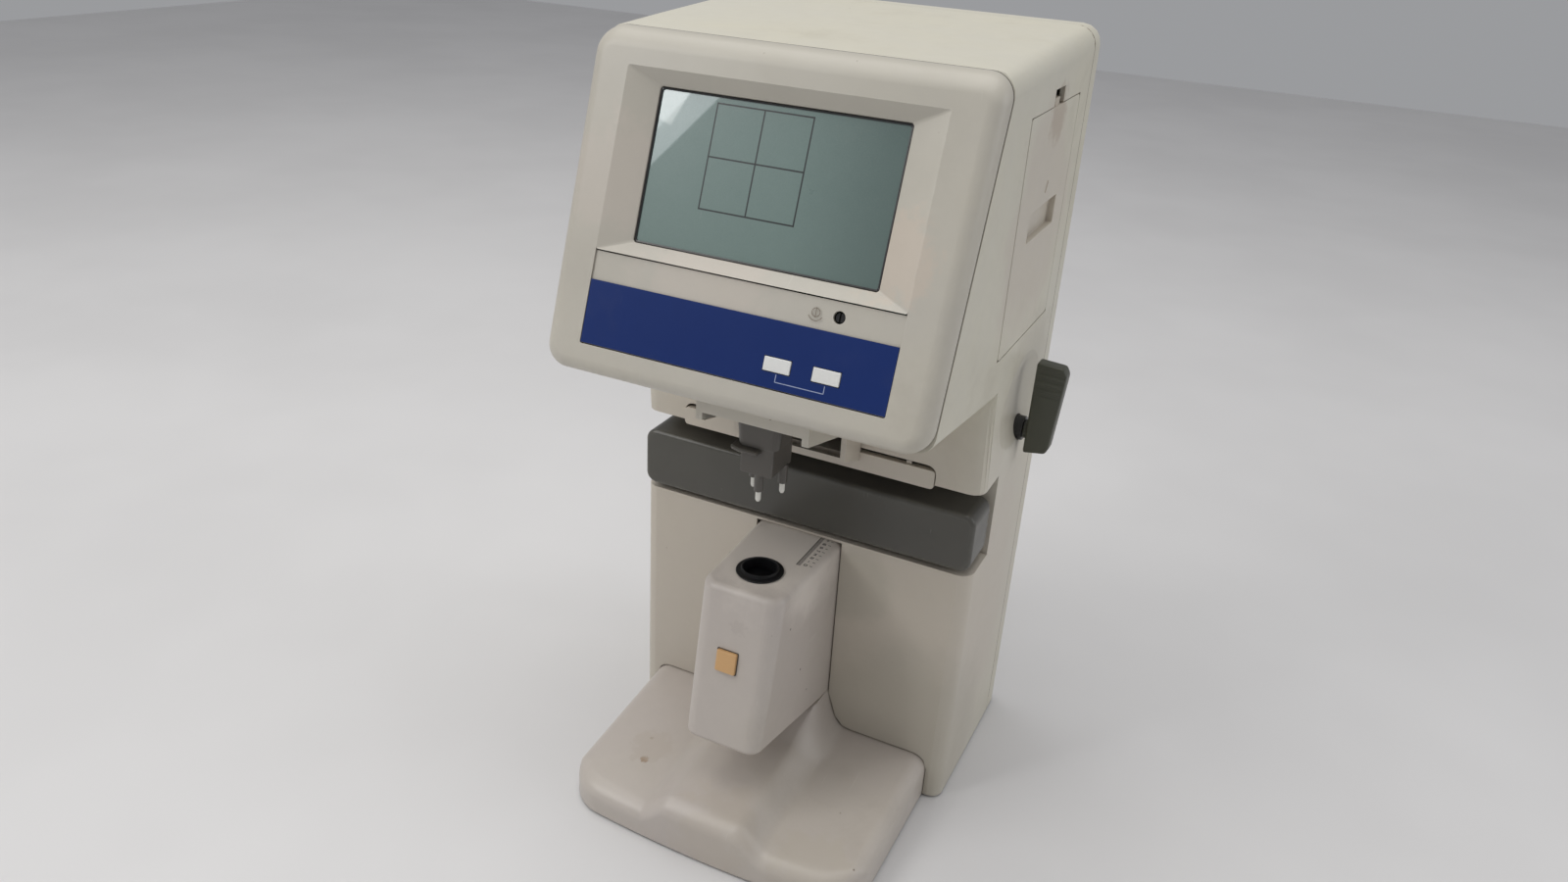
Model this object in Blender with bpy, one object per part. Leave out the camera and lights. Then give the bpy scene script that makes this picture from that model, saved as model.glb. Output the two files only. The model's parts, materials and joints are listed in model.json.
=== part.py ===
"""Tabletop automatic lensmeter, built as separate parts.

Sizes are in millimetres in the constants and become metres in the meshes.
X points to the right seen from the user's side, Y points to the back and Z up.
The sizes are laid out about the case's middle plane and the column's front face;
one empty then moves everything so that the footprint's centre is the origin.
"""

import math

import bmesh
import bpy
from mathutils import Matrix, Vector

MM = 0.001

# Placement of the layout in the part's own frame: the side lever sticks out on +X.
LEVER_TIP_X = 121.5
BASE_FRONT_Y = -108.5
CASE_REAR_Y = 115.0
CASE_HALF_WIDTH = 100.0
LAYOUT_SHIFT = (-(LEVER_TIP_X - CASE_HALF_WIDTH) / 2, -(BASE_FRONT_Y + CASE_REAR_Y) / 2, 0.0)

# Case.
CASE_BOTTOM_Z = 1.5
WALL = 2.5
GAP = 0.3
REAR_SEAM_Y = 94.0
COLUMN_TOP_Z = 153.3
NOTCH_TOP_Z = 202.0
NOTCH_DEPTH = 29.0
UNDERSIDE_Z = 253.2
UNDERSIDE_SLOPE = -0.115
TOP_Z = 416.94
TOP_SLOPE = 0.0538
HEAD_TAPER = 0.0255
EDGE_RADIUS = 10.0
COLUMN_EDGE_RADIUS = 7.5

# Sloping face of the head: a point on it, its lean, and the depth of the bezel behind it.
FACE_TILT = math.radians(19.32)
FACE_Y = -53.2
FACE_Z = 400.14
BEZEL_DEPTH = 11.0
BEZEL_RADIUS = 8.0

# Layout on the face: half-width, and distances down the slope from FACE_Y, FACE_Z.
RECESS_HALF = 77.1
RECESS_BOTTOM = 84.1
GLASS_HALF = 61.2
GLASS_TOP = 6.8
GLASS_BOTTOM = 77.8
GLASS_DEPTH = 4.5
BLUE_TOP = 98.1
PANEL_BOTTOM = 128.2
KEY_WIDTH = 13.0
KEY_HEIGHT = 6.3
KEY_CENTRES = {"mode_key": (23.9, 117.4), "output_key": (47.4, 117.3)}
DIAL_CENTRE = (47.5, 91.4)
DIAL_HOLE_RADIUS = 2.8

# Base tongue and nose arm.
BASE_HALF = 90.0
BASE_CORNER = 24.0
BASE_BOW = 5.5
BASE_REAR_Y = 2.0
BASE_ACROSS = 44
PAD_REAR_Z = 28.0
PAD_FRONT_Z = 18.5
HUMP_Z = 30.0
HUMP_RISE = 9.0
HUMP_HALF = 20.0
HUMP_FOOT_HALF = 38.0
WEB_FRONT_Y = -38.0
WEB_REAR_Y = -12.0
WEB_RISE = 13.0
RIM_RADIUS = 9.0
NOSE_TOP_Z = 151.5
NOSE_FRONT_Y = -70.5
NOSE_CHIN_Y = -87.6
NOSE_CHIN_Z = 63.0
NOSE_REAR_Z = 47.5
NOSE_HALF_FRONT = 23.2
NOSE_HALF_CHIN = 21.7
NOSE_HALF_REAR = 25.7
NOSE_CORNER = 8.5
NOSE_EDGE = 3.8

# Optical axis.
AXIS_Y = -47.5
RING_RADIUS = 12.7

# Lens table, its rods and the lever that drives them.
TABLE_HALF = 99.0
TABLE_FRONT_Y = -2.0
TABLE_REAR_Y = 24.0
TABLE_BOTTOM_Z = 156.5
TABLE_TOP_Z = 190.5
ROD_X = 60.0
ROD_Z = 173.0
ROD_RADIUS = 4.0
LEVER_Y = 62.0
LEVER_Z = 217.0
CRANK_RADIUS = 44.0
CRANK_REST = math.radians(21.0)

# Lens holder.
HOLDER_HALF_X = 9.0
HOLDER_HALF_Y = 11.5
HOLDER_WIDE_HALF = 13.5
HOLDER_BOTTOM_Z = 213.3
HOLDER_TOP_Z = 324.0
PIN_CIRCLE = 9.0
PIN_START = -84.0
TIP_BOTTOM_Z = 198.0

# Marker: the pens lean back by this angle and travel along it.
MARKER_LEAN = math.radians(30.0)
MARKER_TIP = (-19.8, 224.0)
MARKER_SPACING = 15.0

# Printer bay in the right side of the head.
DOOR_Y = (-10.0, 77.0)
DOOR_Z = (279.5, 393.0)
ROLL_CENTRE = (68.0, 308.0)


def clear_scene():
    """Removes every object that the file starts with."""
    for thing in list(bpy.data.objects):
        bpy.data.objects.remove(thing, do_unlink=True)


def finish(name, red, green, blue, roughness, metallic=0.0):
    """A Principled material."""
    made = bpy.data.materials.new(name)
    made.use_nodes = True
    shader = made.node_tree.nodes["Principled BSDF"]
    shader.inputs["Base Color"].default_value = (red, green, blue, 1.0)
    shader.inputs["Roughness"].default_value = roughness
    shader.inputs["Metallic"].default_value = metallic
    return made


def make_finishes():
    """Every finish of the instrument, by name."""
    return {
        "ivory": finish("ivory_plastic", 0.52, 0.48, 0.39, 0.5),
        "grey_ivory": finish("grey_ivory_plastic", 0.42, 0.39, 0.34, 0.55),
        "dark_grey": finish("dark_grey_paint", 0.07, 0.068, 0.06, 0.45),
        "lever_grey": finish("olive_grey_plastic", 0.045, 0.047, 0.035, 0.5),
        "blue": finish("blue_film", 0.02, 0.035, 0.15, 0.35),
        "white": finish("white_plastic", 0.75, 0.75, 0.72, 0.4),
        "yellow": finish("yellow_key_plastic", 0.72, 0.4, 0.12, 0.5),
        "black": finish("black_plastic", 0.012, 0.012, 0.014, 0.35),
        "glass": finish("display_glass", 0.12, 0.18, 0.16, 0.08),
        "rubber": finish("black_rubber", 0.02, 0.02, 0.02, 0.85),
        "steel": finish("steel", 0.55, 0.55, 0.56, 0.3, 1.0),
        "aluminium": finish("aluminium", 0.62, 0.63, 0.64, 0.4, 1.0),
        "board": finish("circuit_board", 0.02, 0.1, 0.04, 0.5),
        "paper": finish("paper", 0.8, 0.79, 0.76, 0.8),
    }


def frame_empty(name, matrix, parent=None):
    """An empty that holds a local frame; the matrix is in the parent's frame."""
    empty = bpy.data.objects.new(name, None)
    bpy.context.scene.collection.objects.link(empty)
    empty.parent = parent
    empty.matrix_local = matrix
    return empty


def solid(name, mesh, material=None, parent=None):
    """An object from a bmesh drawn in millimetres, with its faces turned outwards."""
    bmesh.ops.recalc_face_normals(mesh, faces=mesh.faces)
    bmesh.ops.scale(mesh, vec=(MM, MM, MM), verts=mesh.verts)
    data = bpy.data.meshes.new(name)
    mesh.to_mesh(data)
    mesh.free()
    made = bpy.data.objects.new(name, data)
    bpy.context.scene.collection.objects.link(made)
    made.parent = parent
    if material:
        data.materials.append(material)
    return made


def smooth(made, degrees=35):
    """Smooth shading that keeps edges sharper than this angle."""
    made.data.shade_smooth()
    made.data.set_sharp_from_angle(angle=math.radians(degrees))
    return made


def helper(made):
    """Marks a cutter or a union's second shape, which isn't a part of its own."""
    made.hide_render = True
    made.display_type = "WIRE"
    return made


def combine(target, other, operation="DIFFERENCE"):
    """Adds an exact Boolean of the other shape, which becomes a helper."""
    step = target.modifiers.new(operation.lower(), "BOOLEAN")
    step.operation = operation
    step.solver = "EXACT"
    step.object = helper(other)
    return target


def bevel(target, width, segments=3, weighted=False):
    """Adds a Bevel on the edges over 30 degrees, or on the weighted ones."""
    step = target.modifiers.new("bevel", "BEVEL")
    step.width = width * MM
    step.segments = segments
    step.limit_method = "WEIGHT" if weighted else "ANGLE"
    step.angle_limit = math.radians(30)
    step.use_clamp_overlap = False
    return target


def box(low, high):
    """A box between two corners."""
    mesh = bmesh.new()
    bmesh.ops.create_cube(mesh, size=1.0)
    for vert in mesh.verts:
        vert.co = Vector(low[i] + (high[i] - low[i]) * (vert.co[i] + 0.5) for i in range(3))
    return mesh


def prism(outline, low, high, axis="Z"):
    """A polygon carried along an axis: outline points are (y, z), (x, z) or (x, y)."""
    place = {
        "X": lambda p, t: (t, p[0], p[1]),
        "Y": lambda p, t: (p[0], t, p[1]),
        "Z": lambda p, t: (p[0], p[1], t),
    }[axis]
    mesh = bmesh.new()
    first = [mesh.verts.new(place(p, low)) for p in outline]
    last = [mesh.verts.new(place(p, high)) for p in outline]
    mesh.faces.new(first)
    mesh.faces.new(last[::-1])
    for i in range(len(outline)):
        j = (i + 1) % len(outline)
        mesh.faces.new((first[j], first[i], last[i], last[j]))
    return mesh


def circle_points(centre, radius, count, start=0.0, turn=2 * math.pi):
    """Points on a circle, or on an arc with both its ends."""
    closed = abs(turn - 2 * math.pi) < 1e-6
    steps = count if closed else count - 1
    angles = [start + turn * i / steps for i in range(count)]
    return [(centre[0] + radius * math.cos(a), centre[1] + radius * math.sin(a)) for a in angles]


def rounded(low, high, radius, segments=4):
    """A rectangle's outline with round corners."""
    corners = (
        (high[0] - radius, high[1] - radius, 0.0),
        (low[0] + radius, high[1] - radius, 90.0),
        (low[0] + radius, low[1] + radius, 180.0),
        (high[0] - radius, low[1] + radius, 270.0),
    )
    outline = []
    for across, up, start in corners:
        arc = circle_points((across, up), radius, segments + 1, math.radians(start), math.pi / 2)
        outline.extend(arc)
    return outline


def cylinder(centre, radius, low, high, axis="Z", count=24):
    """A round bar along an axis."""
    return prism(circle_points(centre, radius, count), low, high, axis)


def turned(profile, centre=(0.0, 0.0), count=32):
    """A closed (radius, height) profile spun about a vertical axis."""
    mesh = bmesh.new()
    rings = []
    for step in range(count):
        angle = 2 * math.pi * step / count
        ring = [
            mesh.verts.new((centre[0] + r * math.cos(angle), centre[1] + r * math.sin(angle), z))
            for r, z in profile
        ]
        rings.append(ring)
    for i, ring in enumerate(rings):
        after = rings[(i + 1) % count]
        for k in range(len(profile)):
            m = (k + 1) % len(profile)
            mesh.faces.new((ring[k], ring[m], after[m], after[k]))
    return mesh


def hexahedron(corners):
    """A six-sided solid: four corners of the bottom, then the four above them."""
    mesh = bmesh.new()
    v = [mesh.verts.new(c) for c in corners]
    sides = ((0, 3, 2, 1), (4, 5, 6, 7), (0, 1, 5, 4), (1, 2, 6, 5), (2, 3, 7, 6), (3, 0, 4, 7))
    for face in sides:
        mesh.faces.new([v[i] for i in face])
    return mesh


def weight_edges(mesh, weight_of):
    """Sets each edge's bevel weight from a function of its two ends."""
    layer = mesh.edges.layers.float.new("bevel_weight_edge")
    for edge in mesh.edges:
        edge[layer] = weight_of(edge.verts[0].co, edge.verts[1].co)
    return mesh


# ---------------------------------------------------------------- case


def half_width(y):
    """Half the case's width: straight over the column, narrowing over the head's overhang."""
    return CASE_HALF_WIDTH + HEAD_TAPER * min(y, 0.0)


def underside(y):
    return UNDERSIDE_Z + UNDERSIDE_SLOPE * y


def top(y):
    return TOP_Z + TOP_SLOPE * y


def face_line(depth):
    """The face plane moved inwards: returns y at z = 0 and dy/dz."""
    slope = math.tan(FACE_TILT)
    return FACE_Y - FACE_Z * slope + depth / math.cos(FACE_TILT), slope


def on_line(depth, level, level_slope):
    """Where the plane at this depth meets the line z = level + level_slope * y."""
    start, slope = face_line(depth)
    y = (start + slope * level) / (1 - slope * level_slope)
    return (y, level + level_slope * y)


def case_block(inset, front_depth, rear_y, bottom_z):
    """The case's outer form, or with an inset the hollow inside it."""
    floor = (UNDERSIDE_Z + inset, UNDERSIDE_SLOPE)
    roof = (TOP_Z - inset, TOP_SLOPE)
    column = [
        (rear_y, bottom_z),
        (inset, bottom_z),
        (inset, COLUMN_TOP_Z - inset),
        (NOTCH_DEPTH + inset, COLUMN_TOP_Z - inset),
        (NOTCH_DEPTH + inset, NOTCH_TOP_Z + inset),
        (inset, NOTCH_TOP_Z + inset),
        (inset, floor[0] + floor[1] * inset),
        (inset, roof[0] + roof[1] * inset),
        (rear_y, roof[0] + roof[1] * rear_y),
    ]
    head = [column[6], on_line(front_depth, *floor), on_line(front_depth, *roof), column[7]]
    mesh = bmesh.new()
    made = {}

    def vert(point, side):
        key = (round(point[0], 4), round(point[1], 4), side)
        if key not in made:
            x = side * (half_width(point[0]) - inset)
            made[key] = mesh.verts.new((x, point[0], point[1]))
        return made[key]

    for side in (-1, 1):
        mesh.faces.new([vert(p, side) for p in column])
        mesh.faces.new([vert(p, side) for p in head])
    ring = column[:6] + [column[6]] + head[1:3] + column[7:]
    for i, point in enumerate(ring):
        after = ring[(i + 1) % len(ring)]
        mesh.faces.new((vert(point, -1), vert(after, -1), vert(after, 1), vert(point, 1)))
    return mesh


def case_weights(a, b):
    """Full radius along the top and the overhang's lower edges, less on the column's edges."""
    if abs(a.x - b.x) > CASE_HALF_WIDTH:
        return 0.0
    middle = (a + b) / 2
    if middle.y > REAR_SEAM_Y - 0.5:
        return 0.0
    along_depth = abs(a.y - b.y) > 1.0
    if along_depth and middle.z > top(0.0) - 6.0:
        return 1.0
    if along_depth and middle.z > UNDERSIDE_Z - 1.0 and middle.z < UNDERSIDE_Z + 20.0:
        return COLUMN_EDGE_RADIUS / EDGE_RADIUS
    if not along_depth and middle.y < WALL + 0.5 and middle.z < UNDERSIDE_Z + WALL:
        return COLUMN_EDGE_RADIUS / EDGE_RADIUS
    return 0.0


def base_outline(inset=0.0):
    """Front edge of the base in plan, as y for an x, with its bow and round corners."""
    half = BASE_HALF - inset
    radius = BASE_CORNER - inset

    def front(x):
        bow = BASE_FRONT_Y + inset + BASE_BOW * (x / half) ** 2
        reach = abs(x) - (half - radius)
        if reach <= 0:
            return bow
        return bow + radius - math.sqrt(max(radius * radius - reach * reach, 0.0))

    return half, front


def blend(value, low, high):
    """Smooth step from 0 at low to 1 at high."""
    t = min(max((value - low) / (high - low), 0.0), 1.0)
    return t * t * (3 - 2 * t)


def base_height(x, y):
    """Top of the base: two sloping pads, a hump that rises backwards and the web under the nose."""
    back = blend(y, WEB_FRONT_Y, WEB_REAR_Y)
    pad = PAD_REAR_Z + (PAD_FRONT_Z - PAD_REAR_Z) * min(max(-y / 98.0, 0.0), 1.0)
    along = min(max((y + 98.0) / 80.0, 0.0), 1.0)
    ridge = HUMP_Z + HUMP_RISE * along * along + WEB_RISE * back
    half = HUMP_HALF + (NOSE_HALF_REAR - HUMP_HALF) * back
    foot = HUMP_FOOT_HALF + 4.0 * back
    share = min(max((foot - abs(x)) / (foot - half), 0.0), 1.0)
    rise = (1.0 - back) * blend(share, 0.0, 1.0) + back * share**3
    return pad + (ridge - pad) * rise


def spread(t):
    """Position across the base from -1 to 1, with more points near the edges."""
    return 0.55 * math.sin(math.pi * (t - 0.5)) + 0.45 * (2 * t - 1)


def base_surface(inset, drop, rear_y, floor_z):
    """A closed solid under the base's top, on a grid that follows the outline."""
    half, front = base_outline(inset)
    radius = max(RIM_RADIUS - inset, 1.0)
    across = BASE_ACROSS
    deep = 16
    mesh = bmesh.new()
    upper = []
    lower = []
    for j in range(deep + 1):
        v = 1 - (1 - j / deep) ** 1.6
        row = []
        floor_row = []
        for i in range(across + 1):
            x = half * spread(i / across)
            y = front(x) + (rear_y - front(x)) * v ** 1.4
            edge = min(half - abs(x), (y - front(x)) * 0.9)
            reach = radius - min(max(edge, 0.0), radius)
            fall = radius - math.sqrt(radius * radius - reach * reach)
            z = base_height(x, y) - drop - fall
            row.append(mesh.verts.new((x, y, z)))
            floor_row.append(mesh.verts.new((x, y, floor_z)))
        upper.append(row)
        lower.append(floor_row)
    for j in range(deep):
        for i in range(across):
            mesh.faces.new((upper[j][i], upper[j][i + 1], upper[j + 1][i + 1], upper[j + 1][i]))
            mesh.faces.new((lower[j][i], lower[j + 1][i], lower[j + 1][i + 1], lower[j][i + 1]))
    for i in range(across):
        for j in (0, deep):
            mesh.faces.new((upper[j][i], lower[j][i], lower[j][i + 1], upper[j][i + 1]))
    for j in range(deep):
        for i in (0, across):
            mesh.faces.new((upper[j][i], upper[j + 1][i], lower[j + 1][i], lower[j][i]))
    return mesh


def nose_block(inset, rear_y):
    """The nose arm: level on top, leaning out towards its chin, wider at the column."""
    lean = (NOSE_FRONT_Y - NOSE_CHIN_Y) / (NOSE_TOP_Z - NOSE_CHIN_Z)
    front_top = NOSE_FRONT_Y - lean * inset + inset
    chin = NOSE_CHIN_Y + lean * inset + inset
    reach = rear_y / -NOSE_FRONT_Y
    rear_half = NOSE_HALF_REAR + (NOSE_HALF_REAR - NOSE_HALF_FRONT) * reach - inset
    corners = []
    for z_front, z_rear, y_front, half in (
        (NOSE_CHIN_Z + inset, NOSE_REAR_Z + inset, chin, NOSE_HALF_CHIN - inset),
        (NOSE_TOP_Z - inset, NOSE_TOP_Z - inset, front_top, NOSE_HALF_FRONT - inset),
    ):
        corners += [
            (-half, y_front, z_front),
            (half, y_front, z_front),
            (rear_half, rear_y, z_rear),
            (-rear_half, rear_y, z_rear),
        ]

    def weights(a, b):
        if max(a.y, b.y) > rear_y - 1.0 and min(a.y, b.y) > rear_y - 1.0:
            return 0.0
        return 1.0 if abs(a.z - b.z) > 40.0 else NOSE_EDGE / NOSE_CORNER

    return weight_edges(hexahedron(corners), weights)


def front_cutout():
    """Outline in the column's front that the base and the nose arm come out of."""
    half = BASE_HALF + GAP
    outline = [(half, -6.0), (-half, -6.0)]
    for i in range(BASE_ACROSS + 1):
        x = half * spread(i / BASE_ACROSS)
        reach = RIM_RADIUS - min(half - abs(x), RIM_RADIUS)
        fall = RIM_RADIUS - math.sqrt(RIM_RADIUS**2 - reach**2)
        outline.append((x, base_height(x, 0.0) + 2 * GAP - fall))
    return outline


def build_main_housing(root, finishes):
    """Column, notch, wall and head in one moulding, open at the back, the front and below."""
    block = weight_edges(case_block(0.0, BEZEL_DEPTH, REAR_SEAM_Y, CASE_BOTTOM_Z), case_weights)
    made = solid("main_housing", block, finishes["ivory"], root)
    bevel(made, EDGE_RADIUS, 4, weighted=True)
    hollow = weight_edges(case_block(WALL, -30.0, REAR_SEAM_Y + 20.0, -10.0), case_weights)
    hollow = bevel(solid("cut_housing_hollow", hollow, None, root), EDGE_RADIUS - WALL, 4, weighted=True)
    combine(made, hollow)
    pad = prism(rounded((10.0, 206.0), (90.0, 266.0), 10.0), 91.0, 98.5, "X")
    combine(made, solid("add_scoop_pad", pad, None, root), "UNION")
    combine(made, scoop_cutter(root))
    cuts = {
        "cut_base": prism(front_cutout(), -3.0, 4.0, "Y"),
        "cut_nose": box((-NOSE_HALF_REAR - 0.5, -3.0, 20.0), (NOSE_HALF_REAR + 0.5, 4.0, 151.9)),
        "cut_wall": prism(rounded((-74.3, 190.0), (74.3, 212.5), 5.0), -3.0, 5.0, "Y"),
        "cut_wall_middle": box((-25.0, -3.0, 205.0), (25.0, 5.0, 268.0)),
        "cut_underside": box((-25.0, -62.5, 246.0), (25.0, 5.0, 275.0)),
        "cut_door": box((92.0, DOOR_Y[0] + 4, DOOR_Z[0] + 4), (104.0, DOOR_Y[1] - 4, DOOR_Z[1] - 4)),
        "cut_door_rebate": box((98.0, DOOR_Y[0], DOOR_Z[0]), (104.0, DOOR_Y[1], DOOR_Z[1])),
        "cut_latch": box((94.0, 26.0, 386.0), (104.0, 43.0, 400.5)),
        "cut_lever": cylinder((LEVER_Y, LEVER_Z), 7.2, 85.0, 104.0, "X", 28),
    }
    for side in (-1, 1):
        hole = cylinder((side * ROD_X, ROD_Z), 5.5, 25.0, 36.0, "Y", 16)
        cuts[f"cut_rod_{side}"] = hole
    for name, cutter in cuts.items():
        combine(made, solid(name, cutter, None, root))
    return smooth(made)


def scoop_cutter(root):
    """A shallow dish in the right side, around the lever, for the fingers."""
    mesh = bmesh.new()
    bmesh.ops.create_uvsphere(mesh, u_segments=40, v_segments=20, radius=1.0)
    bmesh.ops.rotate(mesh, verts=mesh.verts, matrix=Matrix.Rotation(math.pi / 2, 3, "Y"))
    bmesh.ops.scale(mesh, vec=(6.0, 37.0, 28.0), verts=mesh.verts)
    bmesh.ops.translate(mesh, vec=(102.0, 50.0, 238.0), verts=mesh.verts)
    return solid("cut_scoop", mesh, None, root)


def build_rear_cover(root, finishes):
    """Back shell with its vents, the power entry's opening, the data port's and four screw wells."""
    roof = top(REAR_SEAM_Y)
    block = box((-100.0, REAR_SEAM_Y + GAP, CASE_BOTTOM_Z), (100.0, CASE_REAR_Y, roof))

    def weights(a, b):
        middle = (a + b) / 2
        on_back = middle.y > CASE_REAR_Y - 0.5
        low = middle.z < CASE_BOTTOM_Z + 0.5
        along_depth = abs(a.y - b.y) > 1.0
        if on_back and not low:
            return 1.0
        return 1.0 if along_depth and middle.z > roof - 0.5 else 0.0

    made = solid("rear_cover", weight_edges(block, weights), finishes["ivory"], root)
    bevel(made, EDGE_RADIUS, 4, weighted=True)
    inner = (-100.0 + WALL, REAR_SEAM_Y - 5.0, -8.0), (100.0 - WALL, CASE_REAR_Y - WALL, roof - WALL)
    combine(made, bevel(solid("cut_cover_hollow", box(*inner), None, root), 6.0, 2))
    entry = box((-74.4, 105.0, 23.6), (-15.6, 120.0, 56.4))
    combine(made, solid("cut_power_entry", entry, None, root))
    combine(made, solid("cut_port", box((20.0, 105.0, 33.0), (52.0, 120.0, 47.0)), None, root))
    for row in range(6):
        z = 330.0 + 9.0 * row
        vent = prism(rounded((-55.0, z), (55.0, z + 3.6), 1.7, 2), 105.0, 120.0, "Y")
        combine(made, solid(f"cut_vent_{row}", vent, None, root))
    for x, z in SCREW_PLACES:
        well = cylinder((x, z), 4.2, 112.0, 120.0, "Y", 16)
        combine(made, solid(f"cut_screw_{x:.0f}_{z:.0f}", well, None, root))
    return smooth(made)


SCREW_PLACES = ((-86.0, 20.0), (86.0, 20.0), (-86.0, 395.0), (86.0, 395.0))


def build_screws(root, finishes):
    """Four pan-head screws with a cross recess, sunk in the rear cover's wells."""
    for number, (x, z) in enumerate(SCREW_PLACES, 1):
        head = cylinder((x, z), 3.2, 112.4, 114.4, "Y", 20)
        made = solid(f"cover_screw_{number}", head, finishes["steel"], root)
        combine(made, solid(f"add_shank_{number}", screw_shank(x, z), None, root), "UNION")
        for turn, (wide, tall) in enumerate(((3.6, 0.9), (0.9, 3.6))):
            slot = box((x - wide / 2, 113.4, z - tall / 2), (x + wide / 2, 116.0, z + tall / 2))
            combine(made, solid(f"cut_cross_{number}_{turn}", slot, None, root))
        smooth(made)


def screw_shank(x, z):
    """A screw's shank: a round bar along Y that narrows to its tip."""
    mesh = cylinder((x, z), 1.5, 101.0, 113.0, "Y", 12)
    for vert in mesh.verts:
        if vert.co.y < 102.0:
            vert.co.x = x + (vert.co.x - x) * 0.4
            vert.co.z = z + (vert.co.z - z) * 0.4
    return mesh


def build_base(root, finishes):
    """Base tongue, hump and nose arm: one moulding, hollow, open below and behind."""
    body = base_surface(0.0, 0.0, BASE_REAR_Y, CASE_BOTTOM_Z)
    made = solid("base_arm_moulding", body, finishes["grey_ivory"], root)
    nose = solid("add_nose", nose_block(0.0, BASE_REAR_Y), None, root)
    bevel(nose, NOSE_CORNER, 5, weighted=True)
    combine(made, nose, "UNION")
    hollow = base_surface(3.0, 3.0, BASE_REAR_Y + 6.0, -6.0)
    combine(made, solid("cut_base_hollow", hollow, None, root))
    inside = solid("cut_nose_hollow", nose_block(2.6, BASE_REAR_Y + 6.0), None, root)
    combine(made, bevel(inside, NOSE_CORNER - 2.6, 5, weighted=True))
    ring_hole = cylinder((0.0, AXIS_Y), 10.9, 140.0, 160.0, "Z", 32)
    combine(made, solid("cut_ring_hole", ring_hole, None, root))
    key_hole = box((-6.2, -6.4, -4.0), (6.2, 6.4, 4.0))
    key_frame = bpy.data.objects["nose_face_frame"]
    combine(made, solid("cut_key_hole", key_hole, None, key_frame))
    return smooth(made, 40)


def nose_face_matrix():
    """Frame on the nose arm's front: X right, Y up the slope, Z outwards, at the key's centre."""
    lean = math.atan2(NOSE_FRONT_Y - NOSE_CHIN_Y, NOSE_TOP_Z - NOSE_CHIN_Z)
    height = 112.3
    y = NOSE_FRONT_Y - (NOSE_TOP_Z - height) * math.tan(lean)
    place = Matrix.Translation((-1.6 * MM, y * MM, height * MM))
    return place @ Matrix.Rotation(math.pi / 2 - lean, 4, "X")


def build_base_plate(root, finishes):
    """Steel bottom plate and the four rubber feet under it."""
    wide = CASE_HALF_WIDTH - WALL - 0.6
    half = BASE_HALF - 3.7
    right = [(wide - 7.0, 111.9), (wide, 104.9), (wide, 9.5), (wide - 6.4, 3.1), (half, 3.1), (half, -78.0), (69.0, -98.0)]
    outline = right + [(-x, y) for x, y in right[::-1]]
    made = solid("base_plate", prism(outline, 3.6, 5.4, "Z"), finishes["steel"], root)
    for number, (x, y) in enumerate(((-55.0, 20.0), (55.0, 20.0))):
        hole = cylinder((x, y), 7.0, 0.0, 9.0, "Z", 16)
        combine(made, solid(f"cut_plate_{number}", hole, None, root))
    feet = {
        "foot_front_left": (-68.0, -76.0),
        "foot_front_right": (68.0, -76.0),
        "foot_rear_left": (-74.0, 78.0),
        "foot_rear_right": (74.0, 78.0),
    }
    for name, centre in feet.items():
        profile = ((0.0, 0.0), (7.0, 0.0), (8.0, 0.8), (8.0, 3.3), (0.0, 3.3))
        smooth(solid(name, turned_solid(profile, centre, 20), finishes["rubber"], root))


def turned_solid(profile, centre, count=24):
    """Like turned, for a profile that starts and ends on the axis."""
    mesh = turned([(max(r, 0.0), z) for r, z in profile], centre, count)
    bmesh.ops.remove_doubles(mesh, verts=mesh.verts, dist=1e-5)
    loose = [face for face in mesh.faces if face.calc_area() < 1e-9]
    bmesh.ops.delete(mesh, geom=loose, context="FACES_ONLY")
    return mesh


# ---------------------------------------------------------------- head front


def face_matrix():
    """Frame on the sloping face: X right, Y up the slope, Z outwards."""
    place = Matrix.Translation((0.0, FACE_Y * MM, FACE_Z * MM))
    return place @ Matrix.Rotation(math.pi / 2 - FACE_TILT, 4, "X")


def face_box(half, start, end, low, high, centre=0.0):
    """A box on the face: start and end are distances down the slope."""
    return box((centre - half, -end, low), (centre + half, -start, high))


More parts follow.
